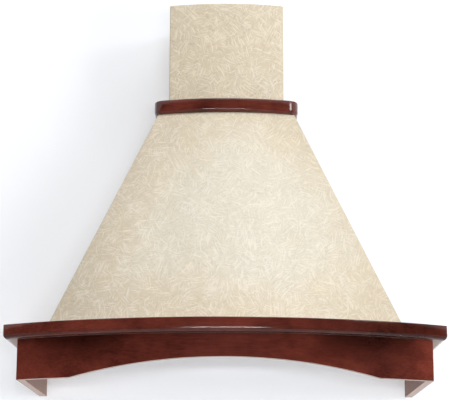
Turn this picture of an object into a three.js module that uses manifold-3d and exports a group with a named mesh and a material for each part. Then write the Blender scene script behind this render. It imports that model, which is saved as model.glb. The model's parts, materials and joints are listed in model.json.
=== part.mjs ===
// A bow-fronted wooden cooker hood that hangs on a wall.
//
// From the bottom up: a skirt with an arched front board, a wide moulded shelf, a tapered canopy, a
// moulded collar, and a chimney with an inner chimney that slides up out of it. Inside are the battens
// that hold the panels, the cleat that carries the hood, and the extractor with its two filters.
//
// Lengths are in millimetres. X runs to the right, Y towards the wall and Z up. Heights are written from
// the bottom edge of the skirt; the finished group is lowered so that its origin is the middle of the
// wall cleat's back face. The wall is the plane Y = 0, and the front of the hood is at negative Y.

import * as THREE from "three";
import { mergeVertices } from "three/addons/utils/BufferGeometryUtils.js";
import Module from "manifold-3d";

// ---------------------------------------------------------------- driving dimensions

const gap = 0.3; // glue line or clearance between pieces that touch
const mitreGap = 0.36; // the same, measured front to back at a mitred corner

// Shelf: the widest piece. Its front is an arc, and the skirt and the canopy's foot share its centre.
const shelfWidth = 900;
const shelfDepth = 500; // wall to the middle of the bow
const shelfBow = 127; // how far the middle stands in front of the corners
const shelfThickness = 30;
const shelfBoardWidth = 126;
const shelfCornerRadius = 3;
const shelfArris = 1.5; // rounding of the top edge
const shelfRound = 10; // rounding of the bottom edge

// Skirt below the shelf.
const skirtHeight = 82;
const skirtThickness = 16;
const skirtFrontSetback = 12; // how far the shelf stands out past the skirt
const skirtSideSetback = 30;
const skirtCornerRadius = 1;
const archEnd = 109; // skirt's side to where the arch starts
const archRise = 36;
const archSweep = 30; // radius of the reverse curves at the arch's ends
const cornerBlockLeg = 34;
const cornerBlockHeight = 62;

// Canopy: panels that lean in from a wide foot to a narrow neck.
const canopyHeight = 487;
const canopyWall = 10; // measured level
const canopyCornerRadius = 4;
const canopyFootSideSetback = 82; // shelf left showing beside the canopy
const canopyFootSetback = 75; // shelf left showing in front of the canopy
const canopyNeckSidePast = 23; // how far the neck stands out beside the chimney
const canopyNeckPast = 22; // how far the neck stands in front of the chimney

// Chimney, the inner chimney that slides in it, and the collar round its foot.
const chimneyHeight = 258; // above the canopy
const chimneyHalfWidth = 127;
const chimneyDepth = 217; // wall to the middle of the bow
const chimneyBow = 17;
const chimneyWall = 9;
const chimneyCornerRadius = 4;
const innerChimneyClearance = 1.5;
const innerChimneyWall = 1.2;
const innerChimneyReturn = 18; // width of the folded rear edges
const innerChimneySetdown = 3; // its top lies this far below the chimney's
const collarHeight = 29;
const collarPast = 31; // how far the collar stands out past the chimney
const collarCornerRadius = 26;
const collarArris = 2;
const collarRound = 7;

// Battens and boards that hold the panels together.
const battenSize = 18;
const postLeg = 22;
const postClearance = 1;
const railThickness = 20; // rear rail and stiles, wall to room
const rearRailHeight = 40;
const stileWidth = 25;
const neckBoardThickness = 15;
const cleatThickness = 18;
const cleatBottom = 380;
const cleatHeight = 60;
const cleatHalfLength = 180;
const hangRailHeight = 60; // at its room side, above the cleat
const cleatClearance = 0.45; // measured upright between the two slopes

// Extractor: liner plate, case and filters.
const sheet = 1.5; // thickness of all folded sheet
const linerLap = 12; // how far the liner plate rests on the shelf boards
const linerUpstand = 24;
const caseMargin = 12; // filters to the case's walls
const caseHeight = 184;
const caseFlange = 11;
const filterThickness = 10;
const filterSpacing = 18; // between the two filters
const filterClearance = 1.5;
const filterBorder = 12;
const filterPocket = 4; // how far the mesh reaches under the border
const filterLip = 1.2; // thickness of the border over the mesh
const pleatCount = 24;
const meshThickness = 1.4;
const hookWidth = 30; // tabs at the filter's rear that lie on the liner plate
const hookOffset = 65;
const hookLap = 4;
const latchWidth = 40;
const latchTravel = 5;
const latchNose = 0.9; // how far the latch stands out of the filter
const latchBack = 8; // filter's front edge to the back of the latch
const latchLip = 8;
const latchDrop = 11;
const latchPlateMargin = 13; // latch to the edge of the solid plate that carries it

// Extractor: lamps and controls.
const lampRadius = 24;
const lampRim = 5;
const lampLip = 3; // how far the rim covers the lens
const lampDepth = 24;
const lampWall = 2;
const lensThickness = 2.5;
const lampMargin = 38; // lamp's axis to the shelf's side board
const lampToFilter = 52; // lamp's axis to the filter's edge
const lampDistance = 165; // wall to the lamp's axis
const buttonCount = 5;
const buttonSize = 14;
const buttonPitch = 26;
const buttonChamfer = 1;
const buttonStandOut = 2.5;
const buttonTravel = 2.5;
const buttonClearance = 0.4;
const buttonFlange = 1.2; // how far the flange that keeps a button in is wider than its hole
const bezelMargin = 11;
const bezelThickness = 3;
const controlSetback = 44; // shelf's front board to the middle of the buttons
const controlToCase = 50.9; // middle of the buttons to the case's front wall
const switchBlockHeight = 22;
const switchBlockWall = 5;

// Extractor: blower, duct spigot and damper.
const ductRadius = 75;
const ductDistance = 105; // wall to the duct's axis
const ductHoleClearance = 7;
const spigotHeight = 40;
const spigotFlange = 10;
const flapThickness = 1.2;
const flapClearance = 2;
const flapRise = 15; // spigot's foot to the damper pin
const pinRadius = 2;
const pinEnd = 2; // how far the pin stands out of the spigot
const knuckleWall = 1.4;
const knuckleLength = 18;
const knucklePitch = 30;
const impellerRadius = 56;
const impellerWidth = 96;
const impellerRing = 4;
const bladeCount = 26;
const bladeDepth = 10;
const bladeThickness = 1.6;
const bladeLean = THREE.MathUtils.degToRad(28);
const backPlateThickness = 3;
const hubRadius = 11;
const hubLength = 12;
const shaftRadius = 4;
const shaftLength = 45;
const scrollStart = 64; // radius of the scroll at its tongue
const scrollEnd = 100; // radius where it turns into the outlet
const scrollNeck = 16; // straight height of the outlet above the scroll
const scrollWidth = 112;
const inletRadius = 50;
const blowerDistance = 145; // wall to the impeller's axis
const motorRadius = 33;
const motorBossRadius = 24;
const motorBossLength = 5;
const motorClearance = 2; // impeller's back plate to the motor
const motorOverhang = 14; // how far the motor stands out of the scroll
const bracketRing = 7;
const bracketThickness = 2;
const bracketArmWidth = 14;
const bracketLap = 11; // how far an arm reaches past the inlet's edge
const terminalBoxWidth = 100;
const terminalBoxDepth = 74;
const terminalBoxHeight = 30;
const terminalBoxInset = 14;
const terminalLidHeight = 3;
const terminalLidOverhang = 2;

// Facets.
const shelfBowSteps = 28;
const canopyBowSteps = 20;
const canopySteps = 4; // from bottom to top
const cornerSteps = 4;
const edgeSteps = 5;
const roundFacets = 32;
const smallFacets = 12;
const scrollSteps = 27;

// Cutters run past what they cut by this much, or by more than the whole hood.
const cut = 2;
const far = 2000;

// ---------------------------------------------------------------- levels

const shelfTop = skirtHeight + shelfThickness;
const canopyTop = shelfTop + canopyHeight;
const neckBoardBottom = canopyTop - neckBoardThickness;
const chimneyTop = canopyTop + chimneyHeight;
const cleatTop = cleatBottom + cleatHeight;
const originHeight = (cleatBottom + cleatTop - cleatThickness) / 2;
const linerBottom = shelfTop + gap;
const linerTop = linerBottom + sheet;
const caseBottom = linerTop + gap;
const caseTop = caseBottom + caseHeight;
const pinHeight = caseTop + gap + flapRise;

// ---------------------------------------------------------------- plans

// Each layer of the hood is a U seen from above: two straight sides that run back to the wall and a
// bowed front. `centre` is the distance of the bow's centre behind the wall.
function bowArc(halfWidth, bow, depth) {
  const radius = (halfWidth ** 2 + bow ** 2) / (2 * bow);
  return { radius, centre: radius - depth };
}
function plan(arc, inset, halfWidth, corner) {
  return { centre: arc.centre, radius: arc.radius - inset, halfWidth, corner };
}
function shrink(shape, distance) {
  return {
    centre: shape.centre,
    radius: shape.radius - distance,
    halfWidth: shape.halfWidth - distance,
    corner: Math.max(shape.corner - distance, 0),
  };
}

const lowArc = bowArc(shelfWidth / 2, shelfBow, shelfDepth);
const highArc = bowArc(chimneyHalfWidth, chimneyBow, chimneyDepth);
const shelfPlan = plan(lowArc, 0, shelfWidth / 2, shelfCornerRadius);
const shelfOpening = shrink(shelfPlan, shelfBoardWidth);
const skirtPlan = plan(lowArc, skirtFrontSetback, shelfWidth / 2 - skirtSideSetback, skirtCornerRadius);
const skirtInside = shrink(skirtPlan, skirtThickness);
const footHalfWidth = shelfWidth / 2 - canopyFootSideSetback;
const footPlan = plan(lowArc, canopyFootSetback, footHalfWidth, canopyCornerRadius);
const neckHalfWidth = chimneyHalfWidth + canopyNeckSidePast;
const neckPlan = plan(highArc, -canopyNeckPast, neckHalfWidth, canopyCornerRadius);
const chimneyPlan = plan(highArc, 0, chimneyHalfWidth, chimneyCornerRadius);
const innerChimneyPlan = shrink(chimneyPlan, chimneyWall + innerChimneyClearance);
const collarPlan = plan(highArc, -collarPast, chimneyHalfWidth + collarPast, collarCornerRadius);

// The bowed front of a plan at a distance from the middle, and its sharp front corner.
function frontAt(shape, x) {
  return shape.centre - Math.sqrt(shape.radius ** 2 - x ** 2);
}
function cornerOf(shape) {
  return new THREE.Vector2(shape.halfWidth, frontAt(shape, shape.halfWidth));
}

// A plan as points, from the right rear round the front to the left rear. `rear` moves both ends.
function outline(shape, steps, rear = 0) {
  const round = Math.max(shape.corner, 0.05);
  const side = shape.halfWidth - round;
  const turn = Math.asin(side / (shape.radius - round)); // half the angle of the bow
  const cornerY = shape.centre - (shape.radius - round) * Math.cos(turn);
  const right = [new THREE.Vector2(shape.halfWidth, rear)];
  for (let i = 0; i <= cornerSteps; i++) {
    const angle = (i / cornerSteps) * (Math.PI / 2 - turn);
    right.push(new THREE.Vector2(side + round * Math.cos(angle), cornerY - round * Math.sin(angle)));
  }
  const bow = [];
  for (let i = 1; i < steps; i++) {
    const angle = turn * (1 - (2 * i) / steps);
    bow.push(new THREE.Vector2(shape.radius * Math.sin(angle), shape.centre - shape.radius * Math.cos(angle)));
  }
  const left = right.map(({ x, y }) => new THREE.Vector2(-x, y)).reverse();
  return [...right, ...bow, ...left];
}

// The canopy's faces run straight from its foot to its neck. `inset` is measured level.
function canopyShare(height) {
  return (height - shelfTop) / canopyHeight;
}
function canopyOutline(height, inset, rear = 0) {
  const neck = outline(shrink(neckPlan, inset), canopyBowSteps, rear);
  const foot = outline(shrink(footPlan, inset), canopyBowSteps, rear);
  return foot.map((point, i) => point.lerp(neck[i], canopyShare(height)));
}
function canopyCorner(height, inset) {
  return cornerOf(shrink(footPlan, inset)).lerp(cornerOf(shrink(neckPlan, inset)), canopyShare(height));
}
// A point on the canopy's front, straight up the face from one that is `across` in from the corner.
function canopyFrontPoint(height, inset, across) {
  const at = (shape) => {
    const x = shape.halfWidth - across;
    return new THREE.Vector2(x, frontAt(shape, x));
  };
  return at(shrink(footPlan, inset)).lerp(at(shrink(neckPlan, inset)), canopyShare(height));
}

// ---------------------------------------------------------------- solids

const wasm = await Module();
wasm.setup();

function solid(geometry) {
  const loose = geometry.index ? geometry.toNonIndexed() : geometry;
  const bare = new THREE.BufferGeometry().setAttribute("position", loose.getAttribute("position"));
  const merged = mergeVertices(bare, 1e-4);
  return new wasm.Manifold(
    new wasm.Mesh({
      numProp: 3,
      vertProperties: new Float32Array(merged.attributes.position.array),
      triVerts: new Uint32Array(merged.index.array),
    }),
  );
}
function geometryOf(body) {
  const { numVert, numProp, vertProperties, triVerts } = body.getMesh();
  const positions = new Float32Array(numVert * 3);
  for (let i = 0; i < numVert; i++) {
    positions.set(vertProperties.subarray(i * numProp, i * numProp + 3), i * 3);
  }
  const geometry = new THREE.BufferGeometry();
  geometry.setAttribute("position", new THREE.BufferAttribute(positions, 3));
  geometry.setIndex(new THREE.BufferAttribute(new Uint32Array(triVerts), 1));
  const flat = geometry.toNonIndexed();
  flat.computeVertexNormals();
  return flat;
}

function points(...pairs) {
  return pairs.map(([x, y]) => new THREE.Vector2(x, y));
}
// A solid that passes through level rings with the same number of points, from the bottom up. Its two
// halves are split into triangles as mirror images, so that a twisted face is the same on both sides.
function loft(levels) {
  const clockwise = THREE.ShapeUtils.isClockWise(levels[0].ring);
  const rings = levels.map(({ z, ring }) => ({ z, ring: clockwise ? ring.toReversed() : ring }));
  const positions = [];
  const triangle = (...corners) => {
    for (const [level, index] of corners) {
      const { x, y } = rings[level].ring[index];
      positions.push(x, y, rings[level].z);
    }
  };
  const count = rings[0].ring.length;
  const top = rings.length - 1;
  for (let level = 0; level < top; level++) {
    for (let i = 0; i < count; i++) {
      const next = (i + 1) % count;
      if (2 * i < count) {
        triangle([level, i], [level, next], [level + 1, next]);
        triangle([level, i], [level + 1, next], [level + 1, i]);
      } else {
        triangle([level, i], [level, next], [level + 1, i]);
        triangle([level, next], [level + 1, next], [level + 1, i]);
      }
    }
  }
  for (const [a, b, c] of THREE.ShapeUtils.triangulateShape(rings[0].ring.slice(), [])) {
    triangle([0, a], [0, c], [0, b]);
  }
  for (const [a, b, c] of THREE.ShapeUtils.triangulateShape(rings[top].ring.slice(), [])) {
    triangle([top, a], [top, b], [top, c]);
  }
  const geometry = new THREE.BufferGeometry();
  geometry.setAttribute("position", new THREE.Float32BufferAttribute(positions, 3));
  return solid(geometry);
}
function upright(ring, bottom, top) {
  return loft([
    { z: bottom, ring },
    { z: top, ring },
  ]);
}
function box(x0, x1, y0, y1, z0, z1) {
  return upright(points([x0, y0], [x1, y0], [x1, y1], [x0, y1]), z0, z1);
}
function shapeOf(...pairs) {
  return new THREE.Shape(points(...pairs));
}
// A shape drawn in X and Z, running along Y.
function alongY(shape, y0, y1) {
  const geometry = new THREE.ExtrudeGeometry(shape, { depth: y1 - y0, bevelEnabled: false });
  geometry.rotateX(Math.PI / 2);
  geometry.translate(0, y1, 0);
  return solid(geometry);
}
// A shape drawn in Y and Z, running along X.
function alongX(shape, x0, x1) {
  const geometry = new THREE.ExtrudeGeometry(shape, { depth: x1 - x0, bevelEnabled: false });
  geometry.rotateX(Math.PI / 2);
  geometry.rotateZ(Math.PI / 2);
  geometry.translate(x0, 0, 0);
  return solid(geometry);
}
// A cylinder along one axis. `place` holds its other two coordinates, in X, Y, Z order.
function rod(axis, radius, from, to, place, facets = roundFacets) {
  const geometry = new THREE.CylinderGeometry(radius, radius, to - from, facets);
  const middle = (from + to) / 2;
  if (axis === "x") geometry.rotateZ(Math.PI / 2).translate(middle, place[0], place[1]);
  if (axis === "y") geometry.translate(place[0], middle, place[1]);
  if (axis === "z") geometry.rotateX(Math.PI / 2).translate(place[0], place[1], middle);
  return solid(geometry);
}
// A profile of radius and height, turned about an upright axis.
function turned(profile, x, y) {
  const geometry = new THREE.LatheGeometry(points(...profile), roundFacets);
  geometry.rotateX(Math.PI / 2).translate(x, y, 0);
  return solid(geometry);
}
function mirrored(body) {
  return body.mirror([1, 0, 0]);
}

// A bowed front and two sides, parted at mitred corners. `corners` holds the outer and the inner corner
// of the mitre at a level below the frame and at one above it. Nothing is kept behind `rear`.
function mitredFrame(outside, inside, corners, rear = 0) {
  const shell = outside.subtract(inside);
  const front = (shift) =>
    loft(
      corners.map(({ z, outer, inner }) => {
        const along = outer.clone().sub(inner);
        const outermost = outer.clone().add(along);
        const innermost = inner.clone().addScaledVector(along, -0.1);
        const right = [
          [outermost.x, -far],
          [outermost.x, outermost.y + shift],
          [innermost.x, innermost.y + shift],
        ];
        const left = right.map(([x, y]) => [-x, y]).reverse();
        return { z, ring: points(...right, ...left) };
      }),
    );
  const sides = shell.subtract(front(mitreGap)).subtract(box(-far, far, rear, far, -far, far));
  return {
    front: shell.intersect(front(0)),
    left: sides.intersect(box(-far, 0, -far, far, -far, far)),
    right: sides.intersect(box(0, far, -far, far, -far, far)),
  };
}
function mitre(outer, inner, bottom, top) {
  return [bottom - cut, top + cut].map((z) => ({ z, outer: cornerOf(outer), inner: cornerOf(inner) }));
}
function canopyMitre(inset, thickness, bottom, top) {
  return [bottom - cut, top + cut].map((z) => ({
    z,
    outer: canopyCorner(z, inset),
    inner: canopyCorner(z, inset + thickness),
  }));
}
function canopyLoft(inset, bottom, top, rear = 0) {
  const levels = [];
  for (let i = 0; i <= canopySteps; i++) {
    const z = THREE.MathUtils.lerp(bottom, top, i / canopySteps);
    levels.push({ z, ring: canopyOutline(z, inset, rear) });
  }
  return loft(levels);
}

// A moulded board's edge from its foot up: a round, a plain face and a soft top arris, each as a height
// and how far it lies inside the board's outline.
function edgeProfile(thickness, arris, round) {
  const profile = [];
  for (let i = 0; i <= edgeSteps; i++) {
    const angle = (i / edgeSteps) * (Math.PI / 2);
    profile.push({ height: round * (1 - Math.cos(angle)), inset: round * (1 - Math.sin(angle)) });
  }
  for (let i = 0; i <= 2; i++) {
    const angle = i * (Math.PI / 4);
    profile.push({ height: thickness - arris * (1 - Math.sin(angle)), inset: arris * (1 - Math.cos(angle)) });
  }
  return profile;
}
function mouldedFrame(shape, hole, bottom, thickness, arris, round) {
  const top = bottom + thickness;
  const levels = edgeProfile(thickness, arris, round).map(({ height, inset }) => ({
    z: bottom + height,
    ring: outline(shrink(shape, inset), shelfBowSteps),
  }));
  const inside = upright(outline(hole, shelfBowSteps, cut), bottom - cut, top + cut);
  return mitredFrame(loft(levels), inside, mitre(shape, hole, bottom, top));
}

// ---------------------------------------------------------------- finishes and the group

function finish(color, roughness, metalness = 0) {
  return new THREE.MeshStandardMaterial({ color, roughness, metalness });
}
const stainedWood = finish(0x5e2a22, 0.3);
const rawWood = finish(0xb99a7c, 0.7);
const plainPly = finish(0xc9ab80, 0.75);
const paleFinish = finish(0xdccdb0, 0.6);
const steel = finish(0xb9bcbe, 0.35, 0.9);
const galvanised = finish(0x9aa0a3, 0.5, 0.8);
const aluminium = finish(0xc4c7c9, 0.4, 0.9);
const darkPlastic = finish(0x2b2b2c, 0.5);
const glass = finish(0xf3f1e8, 0.15);

const hood = new THREE.Group();
const pieces = new THREE.Group();
pieces.position.z = -originHeight;
hood.add(pieces);

function add(name, body, material) {
  const mesh = new THREE.Mesh(geometryOf(body), material);
  mesh.name = name;
  pieces.add(mesh);
}
function addFrame(name, frame, material) {
  add(`${name}_front`, frame.front, material);
  add(`${name}_left`, frame.left, material);
  add(`${name}_right`, frame.right, material);
}
function addPair(name, rightBody, material) {
  add(`${name}_right`, rightBody, material);
  add(`${name}_left`, mirrored(rightBody), material);
}

// ---------------------------------------------------------------- skirt

// The valance's lower edge: level ends that sweep up into a long, shallow arch.
function archShape() {
  const archHalfWidth = skirtPlan.halfWidth - archEnd;
  const angle = 2 * Math.atan(archRise / archHalfWidth);
  const radius = archHalfWidth / Math.sin(angle) - archSweep;
  const quarter = Math.PI / 2;
  const shape = new THREE.Shape();
  shape.moveTo(-archHalfWidth, -archRise);
  shape.lineTo(-archHalfWidth, 0);
  shape.absarc(-archHalfWidth, archSweep, archSweep, -quarter, angle - quarter, false);
  shape.absarc(0, archRise - radius, radius, quarter + angle, quarter - angle, true);
  shape.absarc(archHalfWidth, archSweep, archSweep, -quarter - angle, -quarter, false);
  shape.lineTo(archHalfWidth, -archRise);
  return shape;
}
function makeSkirt() {
  const top = skirtHeight - gap;
  const frame = mitredFrame(
    upright(outline(skirtPlan, shelfBowSteps), 0, top),
    upright(outline(skirtInside, shelfBowSteps, cut), -cut, top + cut),
    mitre(skirtPlan, skirtInside, 0, top),
  );
  add("valance", frame.front.subtract(alongY(archShape(), -shelfDepth, 0)), stainedWood);
  add("skirt_side_left", frame.left, stainedWood);
  add("skirt_side_right", frame.right, stainedWood);

  const seat = shrink(skirtInside, gap);
  const corner = cornerOf(seat);
  const across = corner.x - cornerBlockLeg;
  const section = points(
    [corner.x, corner.y],
    [corner.x, corner.y + cornerBlockLeg],
    [across, frontAt(seat, across)],
  );
  addPair("corner_block", upright(section, top - cornerBlockHeight, top), rawWood);
}

// ---------------------------------------------------------------- shelf, canopy and collar

function makeShelf() {
  const frame = mouldedFrame(shelfPlan, shelfOpening, skirtHeight, shelfThickness, shelfArris, shelfRound);
  addFrame("shelf", frame, stainedWood);
}
function makeCanopy() {
  const bottom = shelfTop + gap;
  const frame = mitredFrame(
    canopyLoft(0, bottom, canopyTop),
    canopyLoft(canopyWall, bottom - cut, canopyTop + cut, cut),
    canopyMitre(0, canopyWall, bottom, canopyTop),
  );
  addFrame("canopy", frame, paleFinish);
}
function makeCollar() {
  const hole = shrink(chimneyPlan, -gap);
  const frame = mouldedFrame(collarPlan, hole, canopyTop + gap, collarHeight, collarArris, collarRound);
  addFrame("collar", frame, stainedWood);
}

// ---------------------------------------------------------------- chimneys

function makeChimney() {
  const bottom = canopyTop + gap;
  const hollow = shrink(chimneyPlan, chimneyWall);
  const frame = mitredFrame(
    upright(outline(chimneyPlan, canopyBowSteps), bottom, chimneyTop),
    upright(outline(hollow, canopyBowSteps, cut), bottom - cut, chimneyTop + cut),
    mitre(chimneyPlan, hollow, bottom, chimneyTop),
  );
  addFrame("chimney", frame, paleFinish);
}
// One folded sheet, with its rear edges turned in along the wall.
function makeInnerChimney() {
  const bottom = canopyTop + 2 * gap;
  const top = chimneyTop - innerChimneySetdown;
  const hollow = shrink(innerChimneyPlan, innerChimneyWall);
  const opening = hollow.halfWidth - innerChimneyReturn;
  const body = upright(outline(innerChimneyPlan, canopyBowSteps, -gap), bottom, top)
    .subtract(upright(outline(hollow, canopyBowSteps, -gap - innerChimneyWall), bottom - cut, top + cut))
    .subtract(box(-opening, opening, -innerChimneyReturn, cut, bottom - cut, top + cut));
  add("inner_chimney", body, paleFinish);
}

// ---------------------------------------------------------------- battens, posts, rails and cleat

const panelInset = canopyWall + gap; // what stands against the canopy's inner faces

function makeBattens() {
  const bottom = shelfTop + gap;
  const top = bottom + battenSize;
  const frame = mitredFrame(
    canopyLoft(panelInset, bottom, top),
    canopyLoft(panelInset + battenSize, bottom - cut, top + cut, cut),
    canopyMitre(panelInset, battenSize, bottom, top),
    -railThickness - gap,
  );
  addFrame("foot_batten", frame, rawWood);
}
// A three-cornered post fills the corner between the front and a side all the way up.
function makePosts() {
  const levels = [shelfTop + gap + battenSize + gap, neckBoardBottom - gap].map((z) => {
    const corner = canopyCorner(z, panelInset + postClearance);
    const across = canopyFrontPoint(z, panelInset + postClearance, postLeg);
    return { z, ring: [corner, new THREE.Vector2(corner.x, corner.y + postLeg), across] };
  });
  addPair("corner_post", loft(levels), rawWood);
}
function makeRearFrame() {
  const inside = (z) => canopyCorner(z, panelInset).x;
  const railBottom = shelfTop + gap;
  const railTop = railBottom + rearRailHeight;
  const rail = shapeOf(
    [-inside(railBottom), railBottom],
    [inside(railBottom), railBottom],
    [inside(railTop), railTop],
    [-inside(railTop), railTop],
  );
  add("rear_rail", alongY(rail, -railThickness, 0), rawWood);

  const stileBottom = railTop + gap;
  const stileTop = neckBoardBottom - gap;
  const stile = shapeOf(
    [inside(stileBottom) - stileWidth, stileBottom],
    [inside(stileBottom), stileBottom],
    [inside(stileTop), stileTop],
    [inside(stileTop) - stileWidth, stileTop],
  );
  addPair("rear_stile", alongY(stile, -railThickness, 0), rawWood);
}
function makeNeckBoard() {
  const board = canopyLoft(panelInset, neckBoardBottom, canopyTop);
  const radius = ductRadius + ductHoleClearance;
  const hole = rod("z", radius, neckBoardBottom - cut, canopyTop + cut, [0, -ductDistance]);
  add("neck_board", board.subtract(hole), plainPly);
}
// The cleat is fixed to the wall and the rail to the hood. They meet on a slope that drops towards the
// wall, so that the hood's weight draws it in.
function makeCleat() {
  const room = -cleatThickness;
  const cleat = shapeOf([0, cleatBottom], [0, cleatTop - cleatThickness], [room, cleatTop], [room, cleatBottom]);
  add("wall_cleat", alongX(cleat, -cleatHalfLength, cleatHalfLength), rawWood);

  const foot = cleatTop + cleatClearance;
  const top = foot + hangRailHeight;
  const section = shapeOf([0, foot - cleatThickness], [0, top], [room, top], [room, foot]);
  const halfLength = (z) => canopyCorner(z, panelInset).x - stileWidth - gap;
  const low = foot - cleatThickness - cut;
  const high = top + cut;
  const ends = shapeOf(
    [-halfLength(low), low],
    [halfLength(low), low],
    [halfLength(high), high],
    [-halfLength(high), high],
  );
  const rail = alongX(section, -halfLength(low), halfLength(low));
  add("hang_rail", rail.intersect(alongY(ends, room - cut, cut)), rawWood);
}

// ---------------------------------------------------------------- extractor: liner, case and filters

const linerRear = -railThickness - gap;
const caseRear = linerRear - sheet - gap;
const filterRear = caseRear - sheet - caseMargin; // the filters' hinge edge
const controlDistance = shelfDepth - shelfBoardWidth - controlSetback; // from the wall
const caseFront = controlToCase - controlDistance;
const filterFront = caseFront + sheet + caseMargin;
const lampOffset = shelfOpening.halfWidth - lampMargin;
const filterWidth = lampOffset - lampToFilter - filterSpacing / 2;
const filterCentre = (filterSpacing + filterWidth) / 2;
const caseHalfWidth = filterCentre + filterWidth / 2 + caseMargin + sheet;
const controlHalfLength = ((buttonCount - 1) * buttonPitch + buttonSize) / 2;
const buttonHole = buttonSize / 2 + buttonClearance;
const flangeHalf = buttonHole + buttonFlange;
const sides = [
  ["left", -1],
  ["right", 1],
];

function makeLiner() {
  const tray = shrink(shelfOpening, -linerLap);
  let plate = upright(outline(tray, shelfBowSteps, linerRear), linerBottom, linerTop);
  const upstandTop = linerBottom + linerUpstand;
  const upstandHalf = canopyCorner(upstandTop, panelInset + battenSize).x - gap;
  plate = plate.add(box(-upstandHalf, upstandHalf, linerRear - sheet, linerRear, linerBottom, upstandTop));
  const through = (x0, x1, y0, y1) => box(x0, x1, y0, y1, linerBottom - cut, linerTop + cut);
  for (const [, side] of sides) {
    const x = side * filterCentre;
    const half = filterWidth / 2 + filterClearance;
    plate = plate.subtract(through(x - half, x + half, filterFront - filterClearance, filterRear + filterClearance));
    const lamp = [side * lampOffset, -lampDistance];
    plate = plate.subtract(rod("z", lampRadius + gap, linerBottom - cut, linerTop + cut, lamp));
  }
  const slot = flangeHalf + gap;
  const slotLength = controlHalfLength - buttonSize / 2 + slot;
  plate = plate.subtract(through(-slotLength, slotLength, -controlDistance - slot, -controlDistance + slot));
  add("liner_plate", plate, steel);
}
function makeCase() {
  const w = caseHalfWidth;
  const brim = w + caseFlange;
  const body = box(-w, w, caseFront, caseRear, caseBottom, caseTop)
    .add(box(-brim, brim, caseFront - caseFlange, caseRear, caseBottom, caseBottom + sheet))
    .subtract(box(sheet - w, w - sheet, caseFront + sheet, caseRear - sheet, caseBottom - cut, caseTop - sheet))
    .subtract(rod("z", ductRadius - sheet, caseTop - sheet - cut, caseTop + cut, [0, -ductDistance]));
  add("insert_case", body, galvanised);
}

// The filters' mesh: sheet folded into pleats, drawn in X and Z about its own middle.
function pleatShape(width, height) {
  const peak = (height - meshThickness) / 2;
  const folds = [];
  for (let i = 0; i <= pleatCount; i++) {
    folds.push([(i / pleatCount - 0.5) * width, i % 2 ? peak : -peak]);
  }
  const upper = folds.map(([x, z]) => [x, z + meshThickness / 2]);
  const lower = folds.map(([x, z]) => [x, z - meshThickness / 2]).reverse();
  return shapeOf(...upper, ...lower);
}
function makeFilter(name, x) {
  const top = linerBottom + filterThickness;
  const block = (inset, z0, z1) => {
    const half = filterWidth / 2 - inset;
    return box(x - half, x + half, filterFront + inset, filterRear - inset, z0, z1);
  };
  const pocket = filterBorder - filterPocket;
  const plateHalf = latchWidth / 2 + latchPlateMargin;
  const plateDepth = latchBack + latchTravel + latchPlateMargin;
  const latchFloor = linerTop + gap; // underside of the latch's tongue
  const stemRear = filterFront + latchBack;
  const slotHalf = latchWidth / 2 + gap;
  const slotRear = stemRear + latchTravel + gap;

  let frame = block(0, linerBottom, top)
    .subtract(block(filterBorder, linerBottom - cut, top + cut))
    .subtract(block(pocket, linerBottom + filterLip, top - filterLip))
    .add(box(x - plateHalf, x + plateHalf, filterFront, filterFront + plateDepth, linerBottom, top));
  for (const [, side] of sides) {
    const hookX = x + side * hookOffset;
    const hookEnd = filterRear + filterClearance + hookLap;
    const foot = linerTop + gap;
    frame = frame.add(
      box(hookX - hookWidth / 2, hookX + hookWidth / 2, filterRear - pocket, hookEnd, foot, foot + sheet),
    );
  }
  frame = frame
    .subtract(
      box(x - slotHalf, x + slotHalf, filterFront - cut, slotRear, latchFloor - gap, latchFloor + sheet + gap),
    )
    .subtract(box(x - slotHalf, x + slotHalf, stemRear - sheet - gap, slotRear, linerBottom - cut, latchFloor));
  add(`filter_frame_${name}`, frame, aluminium);

  const inset = pocket + gap;
  const pleats = pleatShape(filterWidth - 2 * inset, filterThickness - 2 * filterLip - 2 * gap);
  const mesh = alongY(pleats, filterFront + inset, filterRear - inset)
    .translate([x, 0, (linerBottom + top) / 2])
    .subtract(
      box(
        x - plateHalf - gap,
        x + plateHalf + gap,
        filterFront - cut,
        filterFront + plateDepth + gap,
        linerBottom - cut,
        top + cut,
      ),
    );
  add(`filter_mesh_${name}`, mesh, aluminium);

  const nose = filterFront - latchNose;
  const low = linerBottom - latchDrop;
  const latch = shapeOf(
    [nose, latchFloor],
    [stemRear - sheet, latchFloor],
    [stemRear - sheet, low + sheet],
    [stemRear - latchLip, low + sheet],
    [stemRear - latchLip, low],
    [stemRear, low],
    [stemRear, latchFloor + sheet],
    [nose, latchFloor + sheet],
  );
  add(`filter_latch_${name}`, alongX(latch, x - latchWidth / 2, x + latchWidth / 2), aluminium);
}

// ---------------------------------------------------------------- extractor: lamps and controls

function makeLamp(name, x) {
  const rimTop = linerBottom - gap;
  const rimBottom = rimTop - lampWall;
  const shelf = rimTop + gap; // where the lens rests on the rim
  const roof = rimTop + lampDepth;
  const bore = lampRadius - lampWall;
  const housing = [
    [bore - lampLip, rimBottom],
    [lampRadius + lampRim, rimBottom],
    [lampRadius + lampRim, rimTop],
    [lampRadius, rimTop],
    [lampRadius, roof],
    [0, roof],
    [0, roof - lampWall],
    [bore, roof - lampWall],
    [bore, rimTop],
    [bore - lampLip, rimTop],
    [bore - lampLip, rimBottom],
  ];
  const lens = [
    [0, shelf],
    [bore - gap, shelf],
    [bore - gap, shelf + lensThickness],
    [0, shelf + lensThickness],
  ];
  add(`lamp_housing_${name}`, turned(housing, x, -lampDistance), steel);
  add(`lamp_lens_${name}`, turned(lens, x, -lampDistance), glass);
}
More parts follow.
